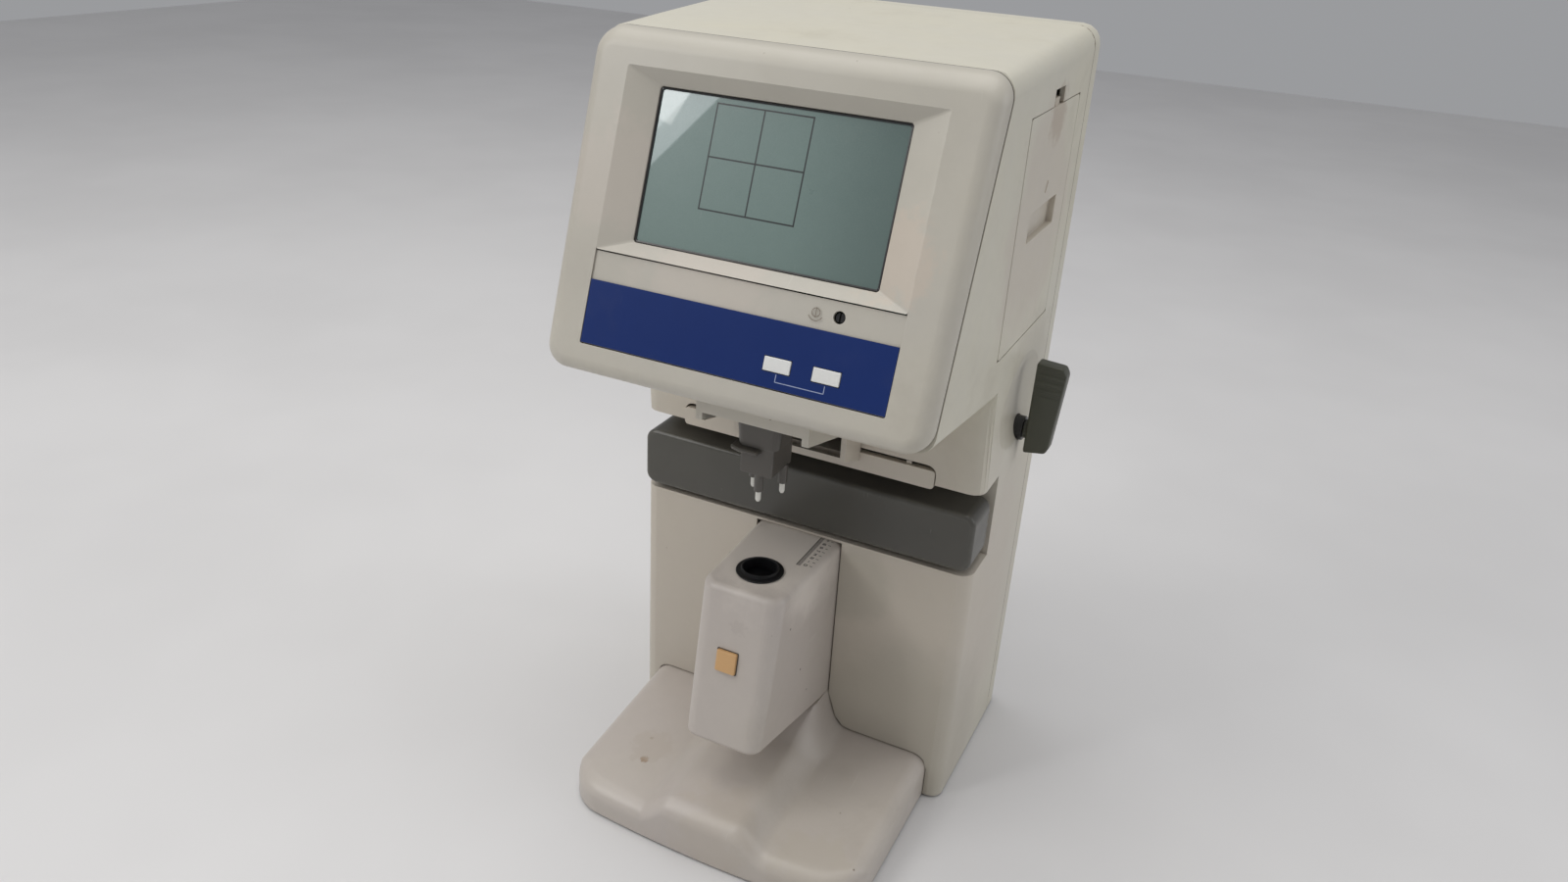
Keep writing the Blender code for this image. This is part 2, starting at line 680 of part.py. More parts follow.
def build_bezel(root, face, finishes):
    """Front frame of the head with the screen's sloping surround and the panel's pocket."""
    floor = (UNDERSIDE_Z, UNDERSIDE_SLOPE)
    roof = (TOP_Z, TOP_SLOPE)
    corners = []
    for level in (floor, roof):
        front = on_line(0.0, *level)
        back = on_line(BEZEL_DEPTH - GAP, *level)
        for y, z, side in ((*front, -1), (*front, 1), (*back, 1), (*back, -1)):
            corners.append((side * half_width(y), y, z))

    def weights(a, b):
        depth_of = [(FACE_Y - FACE_Z * math.tan(FACE_TILT) + c.z * math.tan(FACE_TILT)) for c in (a, b)]
        on_front = [abs(c.y - d) < 1.0 for c, d in zip((a, b), depth_of)]
        if all(on_front):
            return BEZEL_RADIUS / EDGE_RADIUS
        return 1.0 if any(on_front) else 0.0

    made = solid("front_bezel", weight_edges(hexahedron(corners), weights), finishes["ivory"], root)
    bevel(made, EDGE_RADIUS, 4, weighted=True)
    hollow = prism(rounded((-93.0, -137.0), (93.0, 12.0), 7.0, 3), -20.0, -7.6, "Z")
    combine(made, solid("cut_bezel_hollow", hollow, None, face))
    slope = (RECESS_HALF - GLASS_HALF) / GLASS_DEPTH
    rise = (GLASS_TOP - 0.0) / GLASS_DEPTH
    out = 0.6
    low_half = GLASS_HALF - slope * out
    surround = hexahedron(
        [
            (-low_half, -GLASS_BOTTOM + rise * out, -GLASS_DEPTH - out),
            (low_half, -GLASS_BOTTOM + rise * out, -GLASS_DEPTH - out),
            (low_half, -GLASS_TOP - rise * out, -GLASS_DEPTH - out),
            (-low_half, -GLASS_TOP - rise * out, -GLASS_DEPTH - out),
            (-RECESS_HALF - slope * out, -RECESS_BOTTOM - rise * out, out),
            (RECESS_HALF + slope * out, -RECESS_BOTTOM - rise * out, out),
            (RECESS_HALF + slope * out, rise * out, out),
            (-RECESS_HALF - slope * out, rise * out, out),
        ]
    )
    combine(made, solid("cut_surround", surround, None, face))
    window = face_box(GLASS_HALF, GLASS_TOP, GLASS_BOTTOM, -12.0, -3.0)
    combine(made, solid("cut_window", window, None, face))
    pocket = face_box(RECESS_HALF + GAP, RECESS_BOTTOM + 0.3, PANEL_BOTTOM + GAP, -3.0, 3.0)
    combine(made, solid("cut_pocket", pocket, None, face))
    wiring = face_box(70.0, 89.0, 124.0, -12.0, -2.0)
    combine(made, solid("cut_wiring", wiring, None, face))
    return smooth(made)


def build_display(face, finishes):
    """Window glass, the black gasket behind its edge, and the display module."""
    glass = face_box(GLASS_HALF - GAP, GLASS_TOP + GAP, GLASS_BOTTOM - GAP, -6.4, -4.6)
    solid("display_window", glass, finishes["glass"], face)
    ring = solid("display_gasket", face_box(64.0, 4.6, 80.0, -9.4, -7.9), finishes["rubber"], face)
    hole = face_box(58.6, 9.0, 75.6, -12.0, -5.0)
    combine(ring, solid("cut_gasket", hole, None, face))
    module = solid("display_module", face_box(66.0, 2.0, 82.0, -15.6, -9.7), finishes["aluminium"], face)
    bevel(module, 0.8, 1)


def build_panel(face, finishes):
    """Ivory panel insert, blue film, two keys, the contrast dial and the key board."""
    start = RECESS_BOTTOM + 0.6
    panel = face_box(RECESS_HALF, start, PANEL_BOTTOM, -2.7, -0.9)
    made = solid("control_panel", panel, finishes["ivory"], face)
    film = face_box(RECESS_HALF - 0.3, BLUE_TOP, PANEL_BOTTOM - 0.3, -0.6, -0.2)
    blue = solid("blue_film", film, finishes["blue"], face)
    for name, (u, v) in KEY_CENTRES.items():
        for thing in (made, blue):
            hole = face_box(KEY_WIDTH / 2 + GAP, v - KEY_HEIGHT / 2 - GAP, v + KEY_HEIGHT / 2 + GAP, -5.0, 3.0, u)
            combine(thing, solid(f"cut_{name}_{thing.name}", hole, None, face))
        frame = frame_empty(f"{name}_frame", Matrix.Translation((u * MM, -v * MM, 0.0)), face)
        size = (KEY_WIDTH / 2, KEY_HEIGHT / 2)
        cap = box((-size[0], -size[1], -4.4), (size[0], size[1], 0.3))
        smooth(bevel(solid(name, cap, finishes["white"], frame), 0.4, 2))
    u, v = DIAL_CENTRE
    hole = cylinder((u, -v), DIAL_HOLE_RADIUS, -6.0, 3.0, "Z", 24)
    combine(made, solid("cut_dial_hole", hole, None, face))
    frame = frame_empty("contrast_dial_frame", Matrix.Translation((u * MM, -v * MM, 0.0)), face)
    dial = solid("contrast_dial", cylinder((0, 0), 2.2, -6.5, -2.2, "Z", 20), finishes["black"], frame)
    slot = box((-0.4, -3.0, -3.2), (0.4, 3.0, -1.0))
    combine(dial, solid("cut_dial_slot", slot, None, frame))
    smooth(dial)
    board = face_box(34.0, 86.5, 126.0, -10.4, -8.8, 34.0)
    key_board = solid("key_board", board, finishes["board"], face)
    for name, (u, v) in KEY_CENTRES.items():
        switch = box((u - 3.0, -v - 3.0, -9.0), (u + 3.0, -v + 3.0, -6.0))
        combine(key_board, solid(f"add_switch_{name}", switch, None, face), "UNION")
    u, v = DIAL_CENTRE
    pot = box((u - 4.0, -v - 4.0, -9.0), (u + 4.0, -v + 1.8, -7.0))
    combine(key_board, solid("add_dial_seat", pot, None, face), "UNION")


# ---------------------------------------------------------------- optics


def build_optics(root, finishes):
    """The light path: lamp and collimator in the head, ring, lens, tube and sensor in the nose."""
    centre = (0.0, AXIS_Y)
    ring = ((8.8, 147.0), (10.4, 147.0), (10.4, 151.8), (RING_RADIUS, 151.8), (RING_RADIUS, 152.4),
            (10.2, 152.9), (9.8, 154.2), (9.2, 154.4), (8.8, 154.0))
    smooth(solid("lens_rest_ring", turned(ring, centre, 32), finishes["black"], root))
    lens = ((0.0, 147.6), (8.5, 147.6), (8.5, 148.4), (6.0, 149.4), (3.0, 150.0), (0.0, 150.2))
    smooth(solid("nose_lens", turned_solid(lens, centre, 28), finishes["glass"], root))
    tube = ((9.5, 104.0), (13.5, 104.0), (13.5, 144.0), (9.5, 144.0))
    smooth(solid("relay_tube", turned(tube, centre, 28), finishes["aluminium"], root))
    board = box((-16.0, -64.0, 98.0), (16.0, -31.0, 99.6))
    sensor = solid("sensor_board", board, finishes["board"], root)
    chip = box((-7.0, AXIS_Y - 7.0, 99.0), (7.0, AXIS_Y + 7.0, 102.0))
    combine(sensor, solid("add_sensor_chip", chip, None, root), "UNION")
    collimator = ((4.6, 292.0), (5.8, 292.0), (5.8, 331.0), (4.6, 331.0))
    smooth(solid("collimator_tube", turned(collimator, centre, 24), finishes["aluminium"], root))
    lamp = ((0.0, 331.3), (7.0, 331.3), (7.0, 346.0), (4.0, 348.0), (0.0, 348.0))
    smooth(solid("lamp_housing", turned_solid(lamp, centre, 24), finishes["aluminium"], root))
    frame = bpy.data.objects["nose_face_frame"]
    cap = box((-5.8, -6.0, -2.6), (5.8, 6.0, 2.0))
    smooth(bevel(solid("hold_key", cap, finishes["yellow"], frame), 0.5, 2))


def build_chassis(root, finishes):
    """Inner steel frame: a back plate from the base plate up, and a shelf for the lamp."""
    profile = [(91.8, 6.0), (91.8, 405.0), (89.8, 405.0), (89.8, 354.0), (-38.0, 354.0),
               (-38.0, 352.0), (89.8, 352.0), (89.8, 8.0), (60.0, 8.0), (60.0, 6.0)]
    made = solid("chassis_frame", prism(profile, -34.0, 34.0, "X"), finishes["steel"], root)
    for name, low, high in (
        ("cut_chassis_low", (-24.0, 85.0, 70.0), (24.0, 95.0, 150.0)),
        ("cut_chassis_high", (-24.0, 85.0, 240.0), (24.0, 95.0, 330.0)),
    ):
        combine(made, solid(name, box(low, high), None, root))
    arm = box((-8.0, AXIS_Y - 4.0, 352.0), (8.0, -37.0, 354.0))
    combine(made, solid("add_lamp_arm", arm, None, root), "UNION")
    stem = cylinder((0.0, AXIS_Y), 3.0, 348.3, 353.0, "Z", 16)
    combine(made, solid("add_lamp_stem", stem, None, root), "UNION")


def build_electronics(root, finishes):
    """Main board, power supply, power entry with its rocker, and the data port."""
    board = solid("main_board", box((-82.0, 98.0, 90.0), (82.0, 99.6, 310.0)), finishes["board"], root)
    for number, (x, z, wide, tall) in enumerate(
        ((-40.0, 250.0, 34.0, 34.0), (10.0, 262.0, 36.0, 14.0), (10.0, 232.0, 36.0, 14.0), (-30.0, 150.0, 50.0, 20.0))
    ):
        chip = box((x, 99.0, z), (x + wide, 102.6, z + tall))
        combine(board, solid(f"add_chip_{number}", chip, None, root), "UNION")
    supply = solid("power_supply", box((-88.0, 12.0, 9.0), (-4.0, 84.0, 11.0)), finishes["steel"], root)
    for number, (low, high) in enumerate(
        (((-84.0, 18.0, 10.5), (-46.0, 60.0, 52.0)), ((-40.0, 18.0, 10.5), (-24.0, 34.0, 42.0)),
         ((-40.0, 44.0, 10.5), (-10.0, 50.0, 46.0)))
    ):
        combine(supply, bevel(solid(f"add_supply_{number}", box(low, high), None, root), 1.5, 2), "UNION")
    entry = solid("power_entry", box((-74.0, 112.6, 24.0), (-16.0, 114.6, 56.0)), finishes["black"], root)
    combine(entry, solid("add_entry_body", box((-71.6, 92.5, 26.4), (-18.4, 113.0, 53.6)), None, root), "UNION")
    outline = [(-68.0, 30.0), (-44.0, 30.0), (-44.0, 42.0), (-48.0, 46.5), (-64.0, 46.5), (-68.0, 42.0)]
    combine(entry, solid("cut_socket", prism(outline, 98.0, 120.0, "Y"), None, root))
    combine(entry, solid("cut_rocker", box((-38.5, 104.0, 29.0), (-23.5, 120.0, 51.0)), None, root))
    for number, (x, z) in enumerate(((-56.0, 42.0), (-62.0, 35.5), (-50.0, 35.5))):
        blade = box((x - 1.0, 96.0, z - 2.0), (x + 1.0, 111.0, z + 2.0))
        combine(entry, solid(f"add_blade_{number}", blade, None, root), "UNION")
    frame = frame_empty("rocker_frame", Matrix.Translation((-31.0 * MM, 108.0 * MM, 40.0 * MM)), root)
    rocker = [(-2.6, -9.0), (-2.6, 9.0), (6.4, 9.4), (4.6, 0.0), (6.4, -9.4)]
    turned_rocker = Matrix.Rotation(math.radians(-8.0), 3, "X")
    mesh = prism(rocker, -7.0, 7.0, "X")
    bmesh.ops.rotate(mesh, verts=mesh.verts, matrix=turned_rocker)
    solid("power_rocker", mesh, finishes["black"], frame)
    port = solid("data_port", box((20.6, 104.0, 33.6), (51.4, 112.6, 46.4)), finishes["steel"], root)
    plug = prism(rounded((27.0, 35.6), (45.0, 44.4), 2.0, 2), 108.0, 114.8, "Y")
    combine(port, solid("add_port_shell", plug, None, root), "UNION")


# ---------------------------------------------------------------- lens table


def build_table(root, finishes):
    """The dark bar that frames rest against, its two rods and the carriage behind them."""
    outline = rounded((-TABLE_HALF, TABLE_BOTTOM_Z), (TABLE_HALF, TABLE_TOP_Z), 6.5, 5)
    bar = prism(outline, TABLE_FRONT_Y, TABLE_REAR_Y, "Y")
    made = solid("lens_table", bar, finishes["dark_grey"], root)
    bevel(made, 2.2, 3)
    pocket = prism(rounded((-92.0, 161.0), (92.0, 186.0), 3.0, 2), 3.0, 30.0, "Y")
    combine(made, solid("cut_table_pocket", pocket, None, root))
    smooth(made)
    for side, name in ((-1, "table_rod_left"), (1, "table_rod_right")):
        rod = cylinder((side * ROD_X, ROD_Z), ROD_RADIUS, 3.3, 79.7, "Y", 24)
        smooth(solid(name, rod, finishes["steel"], root))
    bar = box((-68.0, 80.0, 165.0), (78.5, 86.0, 181.0))
    carriage = solid("table_carriage", bar, finishes["aluminium"], root)
    pin_y = LEVER_Y + CRANK_RADIUS * math.sin(CRANK_REST)
    fork = {
        "add_fork_floor": ((72.0, pin_y - 7.0, 160.0), (91.0, 86.0, 165.6)),
        "add_fork_front": ((86.0, pin_y - 7.0, 165.0), (91.0, pin_y - 2.6, 181.0)),
        "add_fork_rear": ((86.0, pin_y + 2.6, 165.0), (91.0, 86.0, 181.0)),
    }
    for name, (low, high) in fork.items():
        combine(carriage, solid(name, box(low, high), None, root), "UNION")
    for side, name in ((-1, "guide_block_left"), (1, "guide_block_right")):
        block = box((side * ROD_X - 9.0, 33.0, 163.0), (side * ROD_X + 9.0, 45.0, 183.0))
        made = bevel(solid(name, block, finishes["aluminium"], root), 1.0, 1)
        bore = cylinder((side * ROD_X, ROD_Z), ROD_RADIUS + 0.35, 30.0, 50.0, "Y", 24)
        combine(made, solid(f"cut_{name}", bore, None, root))


def build_lever(root, finishes):
    """Side paddle on a cranked shaft whose pin works in the carriage's fork."""
    frame = frame_empty("lever_frame", Matrix.Translation((0.0, LEVER_Y * MM, LEVER_Z * MM)), root)
    paddle = [(104.4, -11.6), (116.4, -9.6), (118.0, -6.0), (121.5, 36.6), (119.4, 40.6), (104.8, 41.5)]
    made = solid("table_lever", prism(paddle, -7.0, 2.0, "Y"), finishes["lever_grey"], frame)
    bevel(made, 1.4, 2)
    for number in range(4):
        z = 24.0 + 4.2 * number
        groove = cylinder((-8.4, z), 1.9, 103.0, 124.0, "X", 12)
        combine(made, solid(f"cut_groove_{number}", groove, None, frame))
    hub = cylinder((0.0, 0.0), 5.2, 102.6, 107.5, "X", 24)
    combine(made, solid("add_hub", hub, None, frame), "UNION")
    smooth(made)
    bush = solid("lever_bush", cylinder((0.0, 0.0), 6.7, 95.5, 102.2, "X", 28), finishes["black"], frame)
    combine(bush, solid("cut_bush", cylinder((0.0, 0.0), 4.4, 90.0, 110.0, "X", 24), None, frame))
    smooth(bush)
    shaft = cylinder((0.0, 0.0), 4.0, 80.0, 102.3, "X", 24)
    crank = solid("lever_crank", shaft, finishes["steel"], frame)
    pin = (CRANK_RADIUS * math.sin(CRANK_REST), -CRANK_RADIUS * math.cos(CRANK_REST))
    along = Vector(pin).normalized()
    across = Vector((-along.y, along.x))
    outline = []
    for centre, radius, first in (((0.0, 0.0), 6.5, 1), (pin, 4.5, -1)):
        start = math.atan2(across.y * first, across.x * first)
        outline += circle_points(centre, radius, 7, start, math.pi)
    arm = prism(outline, 80.0, 84.0, "X")
    combine(crank, solid("add_crank_arm", arm, None, frame), "UNION")
    stud = cylinder(pin, 2.0, 83.0, 90.6, "X", 16)
    combine(crank, solid("add_crank_pin", stud, None, frame), "UNION")


# ---------------------------------------------------------------- lens holder and marker


def build_holder(root, finishes):
    """Sliding lens holder: a channel round the light path, three sleeves with soft tips, a thumb tab."""
    low_y = AXIS_Y - HOLDER_HALF_Y
    high_y = AXIS_Y + HOLDER_HALF_Y
    body = box((-HOLDER_HALF_X, low_y, HOLDER_BOTTOM_Z), (HOLDER_HALF_X, high_y, HOLDER_TOP_Z))
    made = bevel(solid("lens_holder", body, finishes["dark_grey"], root), 1.2, 2)
    wide = prism(rounded((-HOLDER_WIDE_HALF, low_y - 0.6), (HOLDER_WIDE_HALF, high_y - 2.0), 5.0, 5), 229.0, 254.0, "Z")
    for vert in wide.verts:
        if vert.co.z < 230.0:
            vert.co.x *= 0.82
    combine(made, solid("add_wide_body", wide, None, root), "UNION")
    bore = cylinder((0.0, AXIS_Y), 6.6, 200.0, 340.0, "Z", 24)
    combine(made, solid("cut_holder_bore", bore, None, root))
    slot = box((-3.6, AXIS_Y, 200.0), (3.6, high_y + 5.0, 340.0))
    combine(made, solid("cut_holder_slot", slot, None, root))
    collar = solid("add_holder_collar", box((-15.0, low_y - 4.0, 321.0), (15.0, high_y + 4.0, 324.0)), None, root)
    combine(made, collar, "UNION")
    collar_hole = cylinder((0.0, AXIS_Y), 6.6, 315.0, 330.0, "Z", 24)
    combine(made, solid("cut_collar_hole", collar_hole, None, root))
    tab = prism([(-13.3, -61.4), (-8.4, -63.2), (2.2, -63.2), (3.6, -55.0), (-13.4, -55.0)], 225.9, 228.2, "Z")
    tab_solid = bevel(solid("add_thumb_tab", tab, None, root), 0.7, 1)
    combine(made, tab_solid, "UNION")
    for number in range(3):
        angle = math.radians(PIN_START + 120.0 * number)
        centre = (PIN_CIRCLE * math.cos(angle), AXIS_Y + PIN_CIRCLE * math.sin(angle))
        sleeve = cylinder(centre, 2.4, 204.3, HOLDER_BOTTOM_Z + 1.5, "Z", 20)
        combine(made, solid(f"add_sleeve_{number}", sleeve, None, root), "UNION")
        well = cylinder(centre, 1.75, 203.0, 208.3, "Z", 14)
        combine(made, solid(f"cut_sleeve_{number}", well, None, root))
        profile = ((0.0, TIP_BOTTOM_Z), (0.9, TIP_BOTTOM_Z + 0.3), (1.4, TIP_BOTTOM_Z + 1.3), (1.4, 208.0), (0.0, 208.0))
        tip = turned_solid(profile, centre, 14)
        smooth(solid(f"holder_tip_{number + 1}", tip, finishes["white"], root))
    smooth(made)
    guide = solid("holder_guide", box((-24.0, -63.0, 268.6), (24.0, -32.0, 273.0)), finishes["black"], root)
    clear = 0.4
    hole = box((-HOLDER_HALF_X - clear, low_y - clear, 260.0), (HOLDER_HALF_X + clear, high_y + clear, 280.0))
    combine(guide, solid("cut_guide_hole", hole, None, root))


def build_spring(root, finishes):
    """Compression spring round the holder, between the guide plate and the holder's collar."""
    low, high = 274.0, 320.0
    turns, steps, radius, wire = 6, 16, 15.7, 0.9
    curve = bpy.data.curves.new("holder_spring", "CURVE")
    curve.dimensions = "3D"
    curve.bevel_depth = wire * MM
    curve.bevel_resolution = 0
    curve.use_fill_caps = True
    spline = curve.splines.new("POLY")
    count = turns * steps + 1
    spline.points.add(count - 1)
    for i, point in enumerate(spline.points):
        angle = 2 * math.pi * i / steps
        z = low + wire + (high - low - 2 * wire) * i / (count - 1)
        point.co = (radius * math.cos(angle) * MM, (AXIS_Y + radius * math.sin(angle)) * MM, z * MM, 1.0)
    made = bpy.data.objects.new("holder_spring", curve)
    curve.materials.append(finishes["steel"])
    bpy.context.scene.collection.objects.link(made)
    made.parent = root


def build_marker(root, finishes):
    """Fixed shield and shelf, and the leaning carriage with three marking pens."""
    plate = box((-29.0, -66.2, 243.8), (29.0, -64.0, 260.1))
    shield = solid("marker_shield", plate, finishes["ivory"], root)
    for side in (-1, 1):
        outline = [(-66.2, 239.8), (-22.0, 228.4), (-2.0, 228.4), (-2.0, 252.6), (-66.2, 260.1)]
        cheek = prism(outline, side * 28.6 - 1.8, side * 28.6 + 1.8, "X")
        combine(shield, solid(f"add_cheek_{side}", cheek, None, root), "UNION")
    shelf = solid("marker_shelf", prism(rounded((-73.9, 199.8), (73.9, 210.2), 2.0, 3), -1.0, 2.8, "Y"),
                  finishes["ivory"], root)
    middle = box((-26.0, -3.0, 203.8), (26.0, 6.0, 215.0))
    combine(shelf, solid("cut_shelf_middle", middle, None, root))
    notch = prism([(-62.6, 208.6), (-54.0, 208.6), (-61.6, 204.6)], -3.0, 6.0, "Y")
    combine(shelf, solid("cut_shelf_notch", notch, None, root))
    for side in (-1, 1):
        outline = [(-21.5, 213.2), (0.6, 204.5), (0.6, 211.8), (-0.4, 211.8), (-0.4, 227.6), (-21.5, 227.6)]
        rib = prism(outline, side * 30.6 - 1.4, side * 30.6 + 1.4, "X")
        combine(shelf, solid(f"add_rib_{side}", rib, None, root), "UNION")
        tab = box((side * 59.0 - 1.5, 0.6, 209.0), (side * 59.0 + 1.5, 2.4, 212.0))
        combine(shelf, solid(f"add_tab_{side}", tab, None, root), "UNION")
    place = Matrix.Translation((0.0, MARKER_TIP[0] * MM, MARKER_TIP[1] * MM))
    frame = frame_empty("marker_frame", place @ Matrix.Rotation(-MARKER_LEAN, 4, "X"), root)
    bar = solid("marker_carriage", box((-22.0, -4.0, 19.4), (22.0, 4.0, 27.0)), finishes["black"], frame)
    bevel(bar, 0.8, 1)
    for number in range(3):
        x = MARKER_SPACING * (number - 1)
        bore = cylinder((x, 0.0), 2.9, 10.0, 30.0, "Z", 16)
        combine(bar, solid(f"cut_pen_bore_{number}", bore, None, frame))
        profile = ((0.0, 0.0), (0.5, 0.0), (0.9, 3.4), (2.5, 5.4), (2.5, 30.0), (1.8, 31.0), (0.0, 31.0))
        pen = turned_solid(profile, (x, 0.0), 16)
        smooth(solid(f"marker_pen_{number + 1}", pen, finishes["lever_grey"], frame))


# ---------------------------------------------------------------- printer


def build_printer(root, finishes):
    """Door in the right side with its finger pull and latch, the printer and its paper roll."""
    clear = 0.45
    frame = frame_empty("door_frame", Matrix.Translation((100.0 * MM, 0.0, (DOOR_Z[0] + clear) * MM)), root)
    tall = DOOR_Z[1] - DOOR_Z[0] - 2 * clear
    outline = rounded((DOOR_Y[0] + clear, 0.0), (DOOR_Y[1] - clear, tall), 2.5, 3)
    door = solid("printer_door", prism(outline, -1.75, 0.0, "X"), finishes["ivory"], frame)
    pull_back = box((-4.8, 9.5, 49.5), (-1.2, 60.5, 69.5))
    combine(door, solid("add_pull_back", pull_back, None, frame), "UNION")
    pull = box((-3.6, 11.0, 52.1), (1.6, 59.0, 66.3))
    combine(door, solid("cut_pull", pull, None, frame))
    catch = box((-4.0, 30.6, tall - 2.0), (-0.8, 38.4, tall + 3.6))
    combine(door, solid("add_catch", catch, None, frame), "UNION")
    body = solid("printer_unit", box((46.0, -2.0, 336.0), (92.0, 70.0, 386.0)), finishes["black"], root)
    combine(body, solid("cut_paper_mouth", box((70.0, 4.0, 350.0), (94.0, 64.0, 356.0)), None, root))
    bracket = box((60.0, 66.5, 302.0), (76.0, 68.5, 340.0))
    combine(body, solid("add_spindle_bracket", bracket, None, root), "UNION")
    spindle = cylinder(ROLL_CENTRE, 5.0, 2.0, 67.5, "Y", 20)
    combine(body, solid("add_spindle", spindle, None, root), "UNION")
    roll_frame = frame_empty("roll_frame", Matrix.Translation((ROLL_CENTRE[0] * MM, 0.0, ROLL_CENTRE[1] * MM)), root)
    roll = solid("paper_roll", cylinder((0.0, 0.0), 22.0, 5.0, 63.0, "Y", 32), finishes["paper"], roll_frame)
    combine(roll, solid("cut_roll_core", cylinder((0.0, 0.0), 5.8, 0.0, 70.0, "Y", 24), None, roll_frame))
    smooth(roll)


def main():
    """Builds every part."""
    clear_scene()
    finishes = make_finishes()
    shift = Matrix.Translation([value * MM for value in LAYOUT_SHIFT])
    root = frame_empty("layout", shift)
    face = frame_empty("face_frame", face_matrix(), root)
    frame_empty("nose_face_frame", nose_face_matrix(), root)
    build_main_housing(root, finishes)
    build_rear_cover(root, finishes)
    build_screws(root, finishes)
    build_base(root, finishes)
    build_base_plate(root, finishes)
    build_bezel(root, face, finishes)
    build_display(face, finishes)
    build_panel(face, finishes)
    build_optics(root, finishes)
    build_chassis(root, finishes)
    build_electronics(root, finishes)
    build_table(root, finishes)
    build_lever(root, finishes)
    build_holder(root, finishes)
    build_spring(root, finishes)
    build_marker(root, finishes)
    build_printer(root, finishes)


main()
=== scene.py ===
"""Looks of a tabletop automatic lensmeter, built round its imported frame.

Lengths in the classes are in millimetres in the maker's layout: X to the user's right from
the case's middle plane, Y backwards from the column's front, Z up from the table.
"""

import json
import logging
import math
from collections.abc import Callable, Sequence
from dataclasses import dataclass, field
from enum import Enum

import bmesh
import bpy
import numpy as np
from mathutils import Matrix, Vector

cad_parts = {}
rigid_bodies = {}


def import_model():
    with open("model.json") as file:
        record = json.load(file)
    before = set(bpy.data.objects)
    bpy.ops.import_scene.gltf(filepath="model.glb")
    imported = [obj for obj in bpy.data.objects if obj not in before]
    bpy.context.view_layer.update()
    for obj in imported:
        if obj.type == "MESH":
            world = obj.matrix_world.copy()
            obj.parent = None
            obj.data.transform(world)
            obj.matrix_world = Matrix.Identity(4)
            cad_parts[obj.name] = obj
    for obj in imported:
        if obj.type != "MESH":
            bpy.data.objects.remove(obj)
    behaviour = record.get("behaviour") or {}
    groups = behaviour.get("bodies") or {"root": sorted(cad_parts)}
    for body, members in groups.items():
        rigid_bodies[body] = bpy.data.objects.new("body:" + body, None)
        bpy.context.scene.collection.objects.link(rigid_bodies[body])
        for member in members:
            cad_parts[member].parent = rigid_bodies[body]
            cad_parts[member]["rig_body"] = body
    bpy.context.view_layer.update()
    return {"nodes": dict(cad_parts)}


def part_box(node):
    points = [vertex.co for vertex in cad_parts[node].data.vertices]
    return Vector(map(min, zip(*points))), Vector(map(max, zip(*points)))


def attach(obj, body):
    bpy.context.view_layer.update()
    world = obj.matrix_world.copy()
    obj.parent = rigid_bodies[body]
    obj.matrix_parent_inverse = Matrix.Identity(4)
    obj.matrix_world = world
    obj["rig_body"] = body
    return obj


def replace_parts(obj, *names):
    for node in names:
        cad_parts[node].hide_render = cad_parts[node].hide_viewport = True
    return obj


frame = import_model()

Array = np.ndarray
Colour = tuple[float, float, float]
MM = 0.001
LOG = logging.getLogger("lensmeter")


# ------------------------------------------------------------------ layout


def layout_origin() -> Array:
    """Where the maker's layout has its origin in the frame, in metres.

    Returns:
        The point under the case's middle plane, 115 mm in front of the rear cover's back.
    """
    low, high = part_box("rear_cover")
    return np.array([(low.x + high.x) / 2, high.y - 0.115, 0.0])


ORIGIN = layout_origin()


@dataclass(frozen=True)
class FacePlane:
    """The sloping front of the head: u across, v down the slope, depth inwards."""

    tilt: float = math.radians(19.32)
    y: float = -53.2
    z: float = 400.14

    def place(self, u: Array, v: Array, depth: Array) -> Array:
        """Layout points of face positions.

        The point is (u, y - v sin t + depth cos t, z - v cos t - depth sin t).

        Args:
            u: Distances to the right of the middle.
            v: Distances down the slope.
            depth: Distances inwards.

        Returns:
            An array of points with a last axis of three.
        """
        sine, cosine = math.sin(self.tilt), math.cos(self.tilt)
        u, v, depth = np.broadcast_arrays(*(np.asarray(a, float) for a in (u, v, depth)))
        y = self.y - v * sine + depth * cosine
        z = self.z - v * cosine - depth * sine
        return np.stack([u, y, z], axis=-1)

    def level(self, depth: Array, height: float, slope: float) -> Array:
        """The v at which the plane at this depth meets the surface z = height + slope * y."""
        sine, cosine = math.sin(self.tilt), math.cos(self.tilt)
        y0 = self.y + np.asarray(depth, float) * cosine
        z0 = self.z - np.asarray(depth, float) * sine
        return (z0 - height - slope * y0) / (cosine - slope * sine)


FACE = FacePlane()


# ------------------------------------------------------------------ surfaces


def rectangle(low: Sequence[float], high: Sequence[float], radius: float, corner: int = 8) -> Array:
    """Outline of a rectangle whose corners are quarter circles, anticlockwise.

    Args:
        low: Lowest corner.
        high: Highest corner.
        radius: Corner radius.
        corner: Steps in each quarter circle.

    Returns:
        An array of 4 * (corner + 1) points with a last axis of two.
    """
    angle = np.arange(4)[:, None] * math.pi / 2 + np.linspace(0, math.pi / 2, corner + 1)
    middles = np.array([[high[0], high[1]], [low[0], high[1]], [low[0], low[1]], [high[0], low[1]]])
    inwards = np.array([[-1, -1], [1, -1], [1, 1], [-1, 1]]) * radius
    centre = (middles + inwards)[:, None, :]
    return (centre + radius * np.stack([np.cos(angle), np.sin(angle)], -1)).reshape(-1, 2)


def quarter(radius: float, steps: int = 6) -> Array:
    """Pairs (inset, rise) along a quarter circle, from (0, 0) to (radius, radius)."""
    angle = np.linspace(0, math.pi / 2, steps + 1)
    return radius * np.stack([1 - np.cos(angle), np.sin(angle)], -1)


